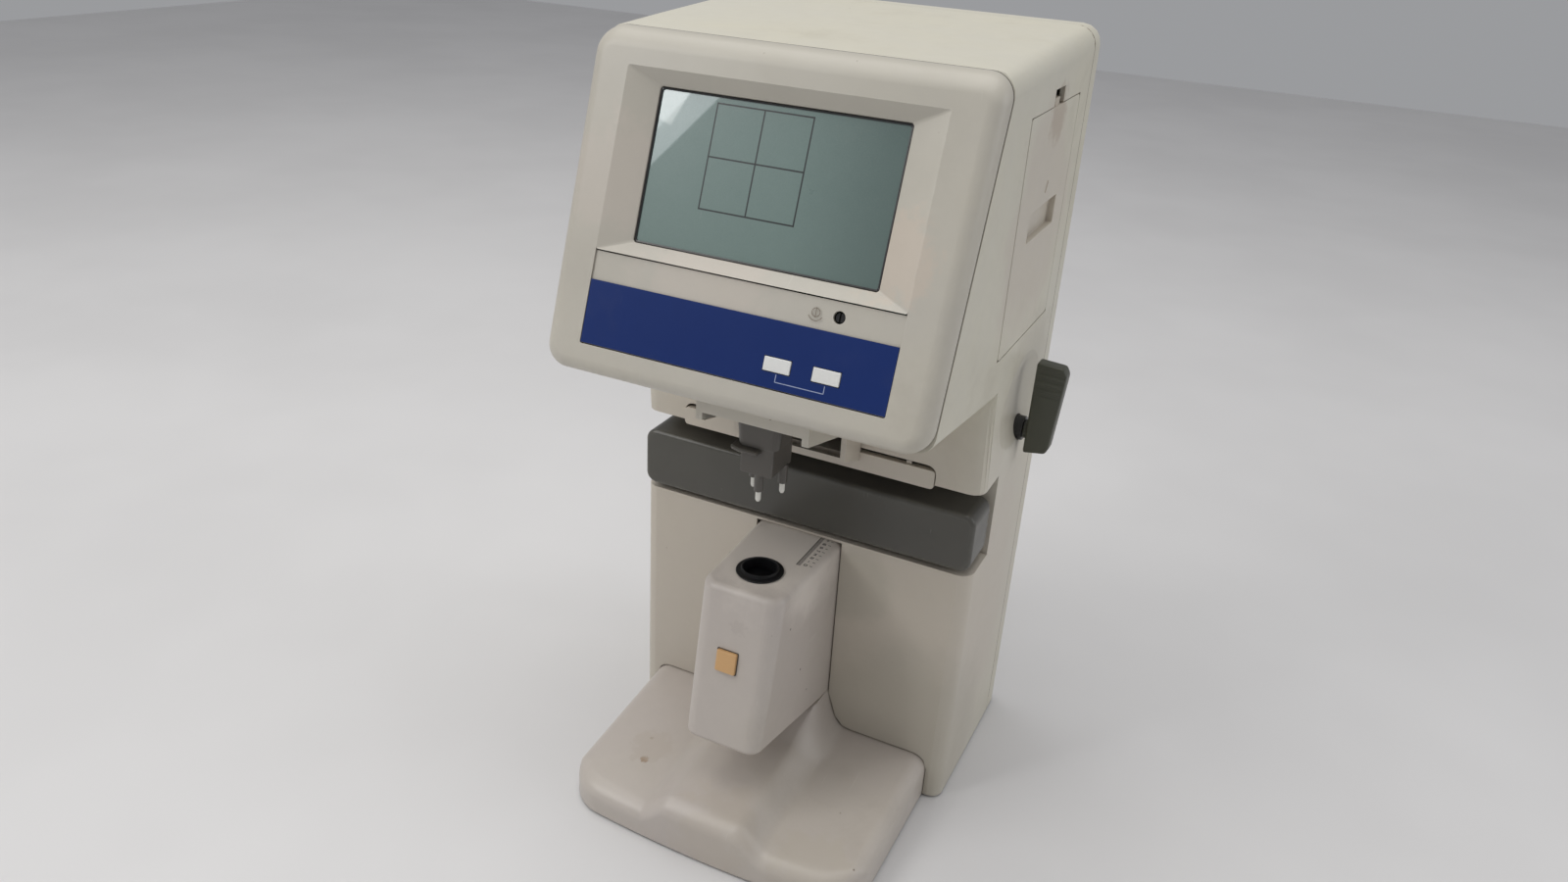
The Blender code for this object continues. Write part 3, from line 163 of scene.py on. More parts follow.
def loft_faces(rings: int, around: int, closed: bool) -> list[list[int]]:
    """Faces between rings of points, capped at both ends or joined end to end."""
    first = np.arange(rings if closed else rings - 1)[:, None]
    column = np.arange(around)[None, :]
    after = (first + 1) % rings
    beside = (column + 1) % around
    quads = np.stack(
        [
            first * around + column, first * around + beside,
            after * around + beside, after * around + column,
        ], -1,
    )
    faces = quads.reshape(-1, 4).tolist()
    if not closed:
        faces += [list(range(around))[::-1], [(rings - 1) * around + i for i in range(around)]]
    return faces


def grid_shell_faces(rows: int, columns: int) -> list[list[int]]:
    """Faces of a closed shell of two grids of points, the upper and then the lower."""
    index = np.arange(rows * columns).reshape(rows, columns)
    upper = np.stack([index[:-1, :-1], index[:-1, 1:], index[1:, 1:], index[1:, :-1]], -1).reshape(-1, 4)
    lower = upper[:, ::-1] + rows * columns
    rim = np.concatenate([index[0, :-1], index[:-1, -1], index[-1, :0:-1], index[:0:-1, 0]])
    beside = np.roll(rim, -1)
    wall = np.stack([rim, rim + rows * columns, beside + rows * columns, beside], -1)
    return np.concatenate([upper, lower, wall]).tolist()


class Shading(Enum):
    """How a piece's faces are shaded."""

    CREASED = 32.0
    SOFT = 55.0


def add_piece(
    name: str,
    points: Array,
    faces: list[list[int]],
    finish: "Finish",
    body: str,
    shading: Shading = Shading.CREASED,
    uv: Array | None = None,
) -> bpy.types.Object:
    """A closed piece from layout points, dressed, and riding on its body.

    Args:
        name: The piece's name.
        points: Layout points in millimetres, with a last axis of three.
        faces: Point numbers of each face.
        finish: The finish it is dressed in.
        body: The body that it rides on.
        shading: The angle above which edges stay sharp.
        uv: Optional pattern coordinates, one pair per point.

    Returns:
        The finished object.
    """
    mesh = bpy.data.meshes.new(name)
    mesh.from_pydata((points.reshape(-1, 3) * MM + ORIGIN).tolist(), [], faces)
    if uv is not None:
        layer = mesh.uv_layers.new(name="pattern")
        corner = np.empty(len(mesh.loops), np.int32)
        mesh.loops.foreach_get("vertex_index", corner)
        layer.data.foreach_set("uv", uv.reshape(-1, 2)[corner].astype(np.float32).ravel())
    work = bmesh.new()
    work.from_mesh(mesh)
    bmesh.ops.remove_doubles(work, verts=work.verts, dist=2e-7)
    bmesh.ops.recalc_face_normals(work, faces=work.faces)
    work.to_mesh(mesh)
    work.free()
    return finish_piece(name, mesh, finish, body, shading)


def finish_piece(
    name: str, mesh: bpy.types.Mesh, finish: "Finish", body: str, shading: Shading
) -> bpy.types.Object:
    """Makes the object of a mesh, with its shading, its finish and its body."""
    mesh.shade_smooth()
    mesh.set_sharp_from_angle(angle=math.radians(shading.value))
    piece = bpy.data.objects.new(name, mesh)
    bpy.context.scene.collection.objects.link(piece)
    mesh.materials.clear()
    mesh.materials.append(finish.material())
    normals = piece.modifiers.new("flat_faces_stay_flat", "WEIGHTED_NORMAL")
    normals.keep_sharp = True
    normals.weight = 80
    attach(piece, body)
    LOG.info("%s: %d faces on %s", name, len(mesh.polygons), body)
    return piece


def loft(
    name: str,
    rings: Array,
    finish: "Finish",
    body: str,
    closed: bool = False,
    shading: Shading = Shading.CREASED,
) -> bpy.types.Object:
    """A piece whose surface passes through rings of layout points.

    Args:
        name: The piece's name.
        rings: Array of rings, points and coordinates.
        finish: Its finish.
        body: Its body.
        closed: Whether the last ring joins the first.
        shading: How it is shaded.

    Returns:
        The finished object.
    """
    count, around = rings.shape[:2]
    return add_piece(name, rings, loft_faces(count, around, closed), finish, body, shading)


def turned(
    name: str, profile: Sequence[tuple[float, float]], centre: tuple[float, float],
    finish: "Finish", body: str,
    closed: bool = True, around: int = 96,
) -> bpy.types.Object:
    """A piece turned about a vertical axis: (radius, height) spun through a full circle."""
    angle = np.linspace(0, 2 * math.pi, around, endpoint=False)
    radius, height = (np.array(column)[:, None] for column in zip(*profile))
    x = centre[0] + radius * np.cos(angle)
    y = centre[1] + radius * np.sin(angle)
    rings = np.stack([x, y, np.broadcast_to(height, x.shape)], -1)
    return loft(name, rings, finish, body, closed)


def frame_copy(
    node: str, finish: "Finish", edge: float = 0.0, name: str = "", shading: Shading = Shading.CREASED
) -> bpy.types.Object:
    """A merged copy of a frame node, with its flat faces whole and its edges eased.

    Args:
        node: The frame's node.
        finish: Its finish.
        edge: Width of the edge's rounding, or 0.
        name: The piece's name, or the node's with _dressed.
        shading: How it is shaded.

    Returns:
        The finished object, which replaces the node.
    """
    mesh = frame["nodes"][node].data.copy()
    work = bmesh.new()
    work.from_mesh(mesh)
    bmesh.ops.remove_doubles(work, verts=work.verts, dist=2e-6)
    bmesh.ops.dissolve_limit(
        work, angle_limit=math.radians(0.6), verts=work.verts, edges=work.edges, use_dissolve_boundaries=False
    )
    work.to_mesh(mesh)
    work.free()
    body = frame["nodes"][node]["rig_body"]
    piece = finish_piece(name or f"{node}_dressed", mesh, finish, body, shading)
    if edge > 0:
        step = piece.modifiers.new("eased_edges", "BEVEL")
        step.width = edge * MM
        step.segments = 2
        step.angle_limit = math.radians(38)
        step.use_clamp_overlap = True
        step.harden_normals = False
        piece.modifiers.move(1, 0)
    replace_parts(piece, node)
    return piece


def strip_shell(
    paths: Sequence[Array], width: float, thick: float, place: Callable[[Array, Array, Array], Array]
) -> tuple[Array, list[list[int]]]:
    """Points and faces of flat strips, each a closed box section carried along its path."""
    points: list[Array] = []
    faces: list[list[int]] = []
    start = 0
    for path in paths:
        path = np.asarray(path, float)
        run = np.gradient(path, axis=0)
        run /= np.linalg.norm(run, axis=1, keepdims=True)
        side = np.stack([-run[:, 1], run[:, 0]], -1) * width / 2
        left, right = path + side, path - side
        zero = np.zeros(len(path))
        section = [
            place(left[:, 0], left[:, 1], zero), place(right[:, 0], right[:, 1], zero),
            place(right[:, 0], right[:, 1], zero + thick), place(left[:, 0], left[:, 1], zero + thick),
        ]
        rings = np.stack(section, 1)
        points.append(rings.reshape(-1, 3))
        faces += [[start + i for i in face] for face in loft_faces(len(path), 4, False)]
        start += rings.shape[0] * 4
    return np.concatenate(points), faces


# ------------------------------------------------------------------ finishes


class Wiring:
    """Short ways to add and join shader nodes in one tree."""

    def __init__(self, tree: bpy.types.NodeTree) -> None:
        """Keeps the tree that nodes are added to."""
        self.tree = tree

    def add(self, kind: str, inputs: dict | None = None, **settings: object) -> bpy.types.Node:
        """A new node, with its settings, and values or links for its inputs.

        Args:
            kind: The node's type.
            inputs: Values or sockets by input name or number.
            settings: Attributes of the node.

        Returns:
            The node.
        """
        node = self.tree.nodes.new(kind)
        for key, value in settings.items():
            setattr(node, key, value)
        for key, value in (inputs or {}).items():
            if isinstance(value, bpy.types.NodeSocket):
                self.tree.links.new(value, node.inputs[key])
            else:
                node.inputs[key].default_value = value
        return node

    def maths(self, operation: str, *values: object) -> bpy.types.NodeSocket:
        """The result of a Math node."""
        return self.add("ShaderNodeMath", dict(enumerate(values)), operation=operation).outputs[0]

    def ramp(
        self, value: bpy.types.NodeSocket, low: float, high: float, top: object = 1.0
    ) -> bpy.types.NodeSocket:
        """A smooth step of a value from 0 at low to top at high."""
        inputs = {"Value": value, "From Min": low, "From Max": high, "To Max": top}
        return self.add("ShaderNodeMapRange", inputs, interpolation_type="SMOOTHSTEP").outputs[0]

    def noise(self, where: bpy.types.NodeSocket, scale: object, detail: float = 3.0) -> bpy.types.NodeSocket:
        """A noise value."""
        inputs = {"Vector": where, "Scale": scale, "Detail": detail, "Roughness": 0.6}
        return self.add("ShaderNodeTexNoise", inputs).outputs[0]

    def mix(self, factor: object, first: object, second: object) -> bpy.types.NodeSocket:
        """A colour between two others."""
        node = self.add("ShaderNodeMix", {0: factor, 6: first, 7: second}, data_type="RGBA")
        return node.outputs[2]


def new_group(
    name: str, inputs: dict[str, object], outputs: dict[str, str]
) -> tuple[Wiring, dict, bpy.types.Node]:
    """An empty shader node group.

    Args:
        name: The group's name.
        inputs: Each input's default; a number makes a value, four a colour, three a vector.
        outputs: Each output's socket kind.

    Returns:
        The group's wiring, its inputs by name, and its output node.
    """
    tree = bpy.data.node_groups.new(name, "ShaderNodeTree")
    for key, default in inputs.items():
        size = 1 if isinstance(default, float) else len(default)
        kind = {1: "NodeSocketFloat", 3: "NodeSocketVector", 4: "NodeSocketColor"}[size]
        socket = tree.interface.new_socket(name=key, in_out="INPUT", socket_type=kind)
        socket.default_value = default
    for key, kind in outputs.items():
        tree.interface.new_socket(name=key, in_out="OUTPUT", socket_type=kind)
    wires = Wiring(tree)
    entry = wires.add("NodeGroupInput")
    return wires, {key: entry.outputs[key] for key in inputs}, wires.add("NodeGroupOutput")


def group_age() -> bpy.types.NodeTree:
    """Uneven ageing of a moulding: broad tint, blotchy dirt and small dark specks."""
    wires, given, out = new_group(
        "age",
        {"Where": (0.0, 0.0, 0.0), "Base": (0.5, 0.5, 0.5, 1.0), "Tint": (0.5, 0.5, 0.5, 1.0),
         "Tint Amount": 0.5, "Dirt": (0.1, 0.08, 0.06, 1.0), "Dirt Amount": 0.3, "Specks": 0.3},
        {"Colour": "NodeSocketColor", "Dirt Mask": "NodeSocketFloat"},
    )
    broad = wires.noise(given["Where"], 9.0, 4.0)
    fine = wires.noise(given["Where"], 150.0, 5.0)
    blotch = wires.noise(given["Where"], 38.0, 6.0)
    tinted = wires.mix(wires.maths("MULTIPLY", wires.ramp(broad, 0.35, 0.68), given["Tint Amount"]),
                       given["Base"], given["Tint"])
    varied = wires.add("ShaderNodeHueSaturation",
                       {"Value": wires.maths("MULTIPLY_ADD", fine, 0.07, 0.965), "Color": tinted}).outputs[0]
    blotchy = wires.ramp(wires.maths("MULTIPLY", blotch, broad), 0.26, 0.5)
    dirt = wires.maths("MULTIPLY", blotchy, given["Dirt Amount"])
    cells = wires.add("ShaderNodeTexVoronoi", {"Vector": given["Where"], "Scale": 95.0, "Randomness": 1.0})
    near = wires.maths("SUBTRACT", 1.0, wires.ramp(cells.outputs["Distance"], 0.02, 0.075))
    cell_value = wires.add("ShaderNodeSeparateColor", {0: cells.outputs["Color"]}).outputs[0]
    rare = wires.ramp(cell_value, 0.86, 0.88)
    speck = wires.maths("MULTIPLY", wires.maths("MULTIPLY", near, rare), given["Specks"])
    mask = wires.maths("MAXIMUM", dirt, speck)
    wires.tree.links.new(wires.mix(mask, varied, given["Dirt"]), out.inputs["Colour"])
    wires.tree.links.new(mask, out.inputs["Dirt Mask"])
    return wires.tree


def group_edges() -> bpy.types.NodeTree:
    """Wear along raised edges, on the bar partly a painted highlight, and grime in corners, from the
    surface's own shape.
    """
    wires, given, out = new_group(
        "edges", {"Where": (0.0, 0.0, 0.0), "Wear And Highlight": 0.4, "Grime": 0.5, "Reach": 0.0012},
        {"Wear And Highlight Mask": "NodeSocketFloat", "Grime Mask": "NodeSocketFloat"},
    )
    flat = wires.add("ShaderNodeNewGeometry").outputs["Normal"]
    eased = wires.add("ShaderNodeBevel", {"Radius": given["Reach"]}, samples=4).outputs[0]
    agree = wires.add("ShaderNodeVectorMath", {0: flat, 1: eased}, operation="DOT_PRODUCT").outputs["Value"]
    bent = wires.ramp(wires.maths("SUBTRACT", 1.0, agree), 0.004, 0.12)
    open_sky = wires.add("ShaderNodeAmbientOcclusion", {"Distance": 0.006}, samples=4).outputs["AO"]
    hollow = wires.ramp(wires.maths("SUBTRACT", 1.0, open_sky), 0.25, 0.75)
    patchy = wires.ramp(wires.noise(given["Where"], 120.0, 4.0), 0.38, 0.6)
    raised = wires.maths("MULTIPLY", bent, wires.maths("SUBTRACT", 1.0, hollow))
    wear_and_highlight = wires.maths("MULTIPLY", wires.maths("MULTIPLY", raised, patchy), given["Wear And Highlight"])
    wires.tree.links.new(wear_and_highlight, out.inputs["Wear And Highlight Mask"])
    wires.tree.links.new(wires.maths("MULTIPLY", hollow, given["Grime"]), out.inputs["Grime Mask"])
    return wires.tree


def group_grain() -> bpy.types.NodeTree:
    """Height of a fine moulded or painted texture, with sparse hairline scratches."""
    wires, given, out = new_group(
        "grain", {"Where": (0.0, 0.0, 0.0), "Scale": 1500.0, "Scratches": 0.2},
        {"Height": "NodeSocketFloat", "Scratch Mask": "NodeSocketFloat"},
    )
    pits = wires.noise(given["Where"], given["Scale"], 2.0)
    ripple = wires.noise(given["Where"], 45.0, 1.0)
    masks = []
    for turn, stretch in ((0.5, (700.0, 18.0, 90.0)), (2.1, (22.0, 640.0, 70.0))):
        turned_by = (turn, turn * 0.6, turn)
        drawn = wires.add(
            "ShaderNodeMapping", {"Vector": given["Where"], "Rotation": turned_by, "Scale": stretch}
        ).outputs[0]
        masks.append(wires.ramp(wires.noise(drawn, 1.0, 1.0), 0.735, 0.76))
    sparse = wires.ramp(wires.noise(given["Where"], 30.0, 2.0), 0.55, 0.62)
    lines = wires.maths("MULTIPLY", wires.maths("MAXIMUM", *masks), sparse)
    scratch = wires.maths("MULTIPLY", lines, given["Scratches"])
    level = wires.maths("MULTIPLY_ADD", ripple, 2.0, pits)
    wires.tree.links.new(wires.maths("SUBTRACT", level, scratch), out.inputs["Height"])
    wires.tree.links.new(scratch, out.inputs["Scratch Mask"])
    return wires.tree


def group_spot() -> bpy.types.NodeTree:
    """A ragged spot round a point, for stains, chips and local yellowing, and also for painted shade and
    painted light.
    """
    wires, given, out = new_group(
        "spot",
        {"Where": (0.0, 0.0, 0.0), "Centre": (0.0, 0.0, 0.0), "Radius": 0.01, "Ragged": 0.5, "Amount": 1.0},
        {"Mask": "NodeSocketFloat"},
    )
    away = wires.add("ShaderNodeVectorMath", {0: given["Where"], 1: given["Centre"]}, operation="DISTANCE")
    scale = wires.maths("DIVIDE", 2.5, given["Radius"])
    torn = wires.maths("MULTIPLY", wires.maths("SUBTRACT", wires.noise(given["Where"], scale, 4.0), 0.5),
                       wires.maths("MULTIPLY", given["Ragged"], 2.0))
    share = wires.maths("ADD", wires.maths("DIVIDE", away.outputs["Value"], given["Radius"]), torn)
    inside = wires.maths("SUBTRACT", 1.0, wires.ramp(share, 0.55, 1.0))
    wires.tree.links.new(wires.maths("MULTIPLY", inside, given["Amount"]), out.inputs["Mask"])
    return wires.tree


class Effects:
    """The shared shader groups, each built once when it is first used."""

    makers: dict[str, Callable[[], bpy.types.NodeTree]] = {
        "age": group_age, "edges": group_edges, "grain": group_grain, "spot": group_spot,
    }
    built: dict[str, bpy.types.NodeTree] = {}

    @classmethod
    def tree(cls, name: str) -> bpy.types.NodeTree:
        """The group of this name."""
        if name not in cls.built:
            cls.built[name] = cls.makers[name]()
        return cls.built[name]


@dataclass(frozen=True)
class Spot:
    """A stain, chip or discolouring at a layout point, in mm; some spots are painted shade instead, and one
    is painted light.
    """

    at: tuple[float, float, float]
    radius: float
    colour: Colour
    amount: float = 0.8
    ragged: float = 0.5


@dataclass(frozen=True)
class Finish:
    """A surface finish: its colours, its gloss, its texture and its signs of use; some finishes also carry
    painted light and shade.
    """

    name: str
    slot: str
    base: Colour
    tint: Colour
    roughness: float = 0.45
    metallic: float = 0.0
    tint_amount: float = 0.6
    dirt: Colour = (0.16, 0.12, 0.08)
    dirt_amount: float = 0.25
    specks: float = 0.5
    wear_and_highlight: Colour = (0.7, 0.68, 0.62)
    wear_and_highlight_amount: float = 0.35
    grime: float = 0.5
    reach: float = 0.9
    grain_scale: float = 1700.0
    grain: float = 0.08
    scratches: float = 0.25
    coat: float = 0.0
    coat_roughness: float = 0.1
    transmission: float = 0.0
    specular: float = 0.5
    spots: tuple[Spot, ...] = ()

    def material(self) -> bpy.types.Material:
        """The finish as a material, built the first time it is asked for.

        Returns:
            The material.
        """
        found = bpy.data.materials.get(self.name)
        if found:
            return found
        made = bpy.data.materials.new(self.name)
        made.use_nodes = True
        made.diffuse_color = (*self.base, 1.0)
        wires = Wiring(made.node_tree)
        shader = made.node_tree.nodes["Principled BSDF"]
        self.plain_sockets(shader)
        where = wires.add("ShaderNodeTexCoord").outputs["Object"]
        colour, dirt = self.aged_colour(wires, where)
        edges = wires.add("ShaderNodeGroup", {}, node_tree=Effects.tree("edges"))
        self.fill(wires, edges, {
            "Where": where, "Wear And Highlight": self.wear_and_highlight_amount, "Grime": self.grime, "Reach": self.reach * MM,
        })
        grain = wires.add("ShaderNodeGroup", {}, node_tree=Effects.tree("grain"))
        self.fill(wires, grain, {"Where": where, "Scale": self.grain_scale, "Scratches": self.scratches})
        worn_and_highlit = wires.mix(edges.outputs["Wear And Highlight Mask"], colour, (*self.wear_and_highlight, 1.0))
        grimy = wires.mix(edges.outputs["Grime Mask"], worn_and_highlit, (*self.dirt, 1.0))
        faint = wires.maths("MULTIPLY", grain.outputs["Scratch Mask"], 0.5)
        scratched = wires.mix(faint, grimy, (*self.wear_and_highlight, 1.0))
        # Spots are stains and discolouring, and some of them are painted shade and painted light.
        for spot in self.spots:
            mask = self.spot_mask(wires, where, spot)
            scratched = wires.mix(mask, scratched, (*spot.colour, 1.0))
        wires.tree.links.new(scratched, shader.inputs["Base Color"])
        dirty = wires.maths("ADD", dirt, edges.outputs["Grime Mask"])
        dull = wires.maths("MULTIPLY_ADD", dirty, 0.25, self.roughness)
        uneven = wires.maths("MULTIPLY_ADD", wires.noise(where, 60.0, 4.0), 0.12, -0.06)
        rough = wires.maths("ADD", dull, uneven)
        polished = wires.maths("MULTIPLY_ADD", edges.outputs["Wear And Highlight Mask"], -0.15, rough)
        clamped = wires.add("ShaderNodeClamp", {"Value": polished, "Min": 0.03, "Max": 0.95}).outputs[0]
        wires.tree.links.new(clamped, shader.inputs["Roughness"])
        bump = wires.add("ShaderNodeBump", {"Strength": self.grain, "Distance": 0.0004,
                                            "Height": grain.outputs["Height"]})
        wires.tree.links.new(bump.outputs[0], shader.inputs["Normal"])
        return made

    def plain_sockets(self, shader: bpy.types.Node) -> None:
        """Sets the values that are the same all over the surface."""
        shader.inputs["Metallic"].default_value = self.metallic
        shader.inputs["Coat Weight"].default_value = self.coat
        shader.inputs["Coat Roughness"].default_value = self.coat_roughness
        shader.inputs["Transmission Weight"].default_value = self.transmission
        shader.inputs["Specular IOR Level"].default_value = self.specular

    def aged_colour(
        self, wires: Wiring, where: bpy.types.NodeSocket
    ) -> tuple[bpy.types.NodeSocket, bpy.types.NodeSocket]:
        """The aged base colour and the mask of its dirt."""
        age = wires.add("ShaderNodeGroup", {}, node_tree=Effects.tree("age"))
        self.fill(wires, age, {
            "Where": where, "Base": self.pattern(wires, where), "Tint": (*self.tint, 1.0),
            "Tint Amount": self.tint_amount, "Dirt": (*self.dirt, 1.0), "Dirt Amount": self.dirt_amount,
            "Specks": self.specks,
        })
        return age.outputs["Colour"], age.outputs["Dirt Mask"]

    def pattern(self, wires: Wiring, where: bpy.types.NodeSocket) -> object:
        """The base colour before ageing; finishes with a printed pattern change it."""
        return (*self.base, 1.0)

    @staticmethod
    def fill(wires: Wiring, node: bpy.types.Node, values: dict[str, object]) -> None:
        """Sets or links a group node's inputs."""
        for key, value in values.items():
            if isinstance(value, bpy.types.NodeSocket):
                wires.tree.links.new(value, node.inputs[key])
            else:
                node.inputs[key].default_value = value

    def spot_mask(self, wires: Wiring, where: bpy.types.NodeSocket, spot: Spot) -> bpy.types.NodeSocket:
        """The mask of one spot."""
        node = wires.add("ShaderNodeGroup", {}, node_tree=Effects.tree("spot"))
        centre = tuple(np.array(spot.at) * MM + ORIGIN)
        self.fill(wires, node, {"Where": where, "Centre": centre, "Radius": spot.radius * MM,
                                "Ragged": spot.ragged, "Amount": spot.amount})
        return node.outputs["Mask"]


@dataclass(frozen=True)
class ScreenFinish(Finish):
    """The display's face: grey-green cells with a two-by-two grid of dark lines under gloss."""

    lines_u: tuple[float, ...] = (-31.4, -7.8, 15.9)
    lines_v: tuple[float, ...] = (10.5, 34.0, 57.3)
    half_line: float = 0.36

    def pattern(self, wires: Wiring, where: bpy.types.NodeSocket) -> bpy.types.NodeSocket:
        """Grey-green, paler downwards and darker towards the right, with dark lines at fixed u and v, which
        the pattern map holds in millimetres / 100.
        """
        chart = wires.add("ShaderNodeUVMap", {}, uv_map="pattern").outputs[0]
        split = wires.add("ShaderNodeSeparateXYZ", {0: chart})
        u = wires.maths("MULTIPLY", split.outputs[0], 100.0)
        v = wires.maths("MULTIPLY", split.outputs[1], 100.0)
        masks = []
        runs = ((u, self.lines_u, v, self.lines_v), (v, self.lines_v, u, self.lines_u))
        for value, marks, other, ends in runs:
            middle, half = (ends[0] + ends[-1]) / 2, (ends[-1] - ends[0]) / 2 + self.half_line
            off_middle = wires.maths("ABSOLUTE", wires.maths("SUBTRACT", other, middle))
            within = wires.maths("LESS_THAN", off_middle, half)
            for mark in marks:
                away = wires.maths("ABSOLUTE", wires.maths("SUBTRACT", value, mark))
                beyond = wires.ramp(away, self.half_line * 0.7, self.half_line * 1.3)
                line = wires.maths("SUBTRACT", 1.0, beyond)
                masks.append(wires.maths("MULTIPLY", line, within))
        drawn = masks[0]
        for mask in masks[1:]:
            drawn = wires.maths("MAXIMUM", drawn, mask)
        cells = wires.add("ShaderNodeTexBrick", {"Vector": chart, "Scale": 180.0, "Mortar Size": 0.03,
                                                 "Color1": (*self.base, 1.0), "Color2": (*self.tint, 1.0),
                                                 "Mortar": tuple(c * 0.82 for c in self.base) + (1.0,),
                                                 "Brick Width": 0.5, "Row Height": 0.5}, offset=0.0)
        # The cells get paler downwards and darker towards the right.
        paler_downwards = wires.mix(wires.ramp(v, 0.0, 90.0, 0.5), cells.outputs[0], (*self.tint, 1.0))
        shade = wires.ramp(u, 5.0, 66.0)
        darker_rightwards = wires.mix(wires.maths("MULTIPLY", shade, 0.42), paler_downwards, (0.03, 0.055, 0.052, 1.0))
        return wires.mix(drawn, darker_rightwards, (0.002, 0.004, 0.004, 1.0))


PINK_AGE = (0.55, 0.48, 0.415)
IVORY = Finish(
    "aged_ivory", "ivory_plastic", (0.615, 0.59, 0.505), (0.635, 0.6, 0.48), roughness=0.42,
    wear_and_highlight=(0.72, 0.7, 0.63), dirt_amount=0.14, specks=0.7,
    spots=(
        Spot((0.0, -10.0, 110.0), 190.0, PINK_AGE, 0.6, 0.2),
        Spot((100.0, 30.0, 340.0), 66.0, PINK_AGE, 0.5, 0.5),
        Spot((100.0, 38.0, 388.0), 16.0, (0.3, 0.2, 0.13), 0.35, 0.7),
        # Painted shade: the next two spots darken the column's lower right and the wall to the right of the
        # arm.
        Spot((74.0, -2.0, 40.0), 74.0, (0.46, 0.43, 0.36), 0.6, 0.25),
        Spot((34.0, -2.0, 128.0), 30.0, (0.46, 0.43, 0.36), 0.55, 0.25),
        Spot((46.0, -2.0, 75.0), 0.9, (0.1, 0.08, 0.06), 0.9, 0.4),
        Spot((66.0, -2.0, 105.0), 0.7, (0.1, 0.08, 0.06), 0.9, 0.4),
        Spot((100.0, 60.0, 250.0), 44.0, (0.42, 0.38, 0.31), 0.35, 0.6),
    ),
)
BEZEL_IVORY = Finish(
    "bezel_ivory", "ivory_plastic", (0.53, 0.5, 0.44), (0.55, 0.515, 0.43), roughness=0.36,
    wear_and_highlight=(0.74, 0.72, 0.66), dirt_amount=0.14, specks=0.8,
    spots=(
        # Painted shade: the next two spots darken the bezel's upper part and its left side.
        Spot((0.0, -30.0, 408.0), 115.0, (0.46, 0.435, 0.375), 0.6, 0.15),
        Spot((-92.0, -60.0, 350.0), 80.0, (0.47, 0.44, 0.385), 0.5, 0.15),
        Spot((93.5, -66.0, 345.0), 2.4, (0.25, 0.18, 0.12), 0.8, 0.9),
        Spot((66.0, -70.0, 340.0), 24.0, (0.64, 0.52, 0.42), 0.4, 0.8),
        Spot((-76.0, -64.0, 352.0), 30.0, (0.56, 0.5, 0.44), 0.45, 0.8),
        Spot((-20.0, -84.0, 312.0), 40.0, (0.6, 0.535, 0.47), 0.45, 0.8),
    ),
)
BASE_GREY = Finish(
    "base_grey_ivory", "grey_ivory_plastic", (0.52, 0.47, 0.43), (0.54, 0.495, 0.43), roughness=0.36,
    wear_and_highlight=(0.68, 0.64, 0.59), dirt_amount=0.16, specks=1.0, scratches=0.4,
    spots=(
        Spot((-54.0, -74.0, 21.0), 3.0, (0.3, 0.2, 0.12), 0.8, 0.7),
        Spot((-59.0, -58.0, 22.5), 1.3, (0.34, 0.27, 0.2), 0.7, 0.9),
        Spot((-56.0, -64.0, 21.5), 15.0, (0.46, 0.4, 0.34), 0.4, 0.9),
        Spot((10.0, -98.0, 16.0), 30.0, (0.5, 0.44, 0.37), 0.4, 0.9),
        Spot((62.0, -96.0, 14.0), 26.0, (0.5, 0.45, 0.37), 0.4, 0.9),
        # Painted light: the next spot lightens the arm's top under the head.
        Spot((0.0, -30.0, 152.0), 46.0, (0.74, 0.68, 0.62), 0.85, 0.3),
        Spot((23.6, -56.0, 128.0), 0.9, (0.06, 0.05, 0.04), 0.9, 0.4),
        Spot((24.2, -40.0, 92.0), 0.9, (0.06, 0.05, 0.04), 0.9, 0.4),
        Spot((24.6, -30.0, 72.0), 0.7, (0.08, 0.06, 0.05), 0.9, 0.4),
        Spot((2.0, -74.0, 132.0), 5.5, (0.42, 0.37, 0.34), 0.3, 1.2),
    ),
)
# The bar's strong, wide edge wear is partly real wear and partly a painted highlight along its edges.
TABLE_GREY = Finish(
    "table_dark_grey", "dark_grey_paint", (0.076, 0.073, 0.063), (0.09, 0.085, 0.07), roughness=0.33,
    dirt=(0.03, 0.028, 0.024), wear_and_highlight=(0.24, 0.23, 0.2), wear_and_highlight_amount=0.8, specks=0.3,
    scratches=0.6, grain=0.1, reach=3.2,
)
HOLDER_GREY = Finish(
    "holder_dark_grey", "dark_grey_paint", (0.088, 0.08, 0.07), (0.1, 0.09, 0.078), roughness=0.36,
    dirt=(0.02, 0.02, 0.018), wear_and_highlight=(0.2, 0.2, 0.19), wear_and_highlight_amount=0.4, specks=0.2,
)
LEVER_OLIVE = Finish(
    "lever_olive", "olive_grey_plastic", (0.058, 0.061, 0.043), (0.07, 0.07, 0.048), roughness=0.4,
    dirt=(0.02, 0.02, 0.014), wear_and_highlight=(0.14, 0.14, 0.11), wear_and_highlight_amount=0.5, specks=0.2,
)
FILM_BLUE = Finish(
    "panel_blue", "blue_film", (0.008, 0.027, 0.14), (0.011, 0.032, 0.155), roughness=0.38,
    dirt=(0.05, 0.06, 0.12), specular=0.2,
    wear_and_highlight=(0.07, 0.09, 0.2), wear_and_highlight_amount=0.25, specks=0.2, grain=0.04, scratches=0.3,
)
KEY_WHITE = Finish(
    "key_white", "white_plastic", (0.80, 0.80, 0.78), (0.76, 0.75, 0.7), roughness=0.3,
    dirt=(0.3, 0.27, 0.22),
    dirt_amount=0.15, specks=0.1, wear_and_highlight=(0.85, 0.85, 0.83), grain=0.03,
)
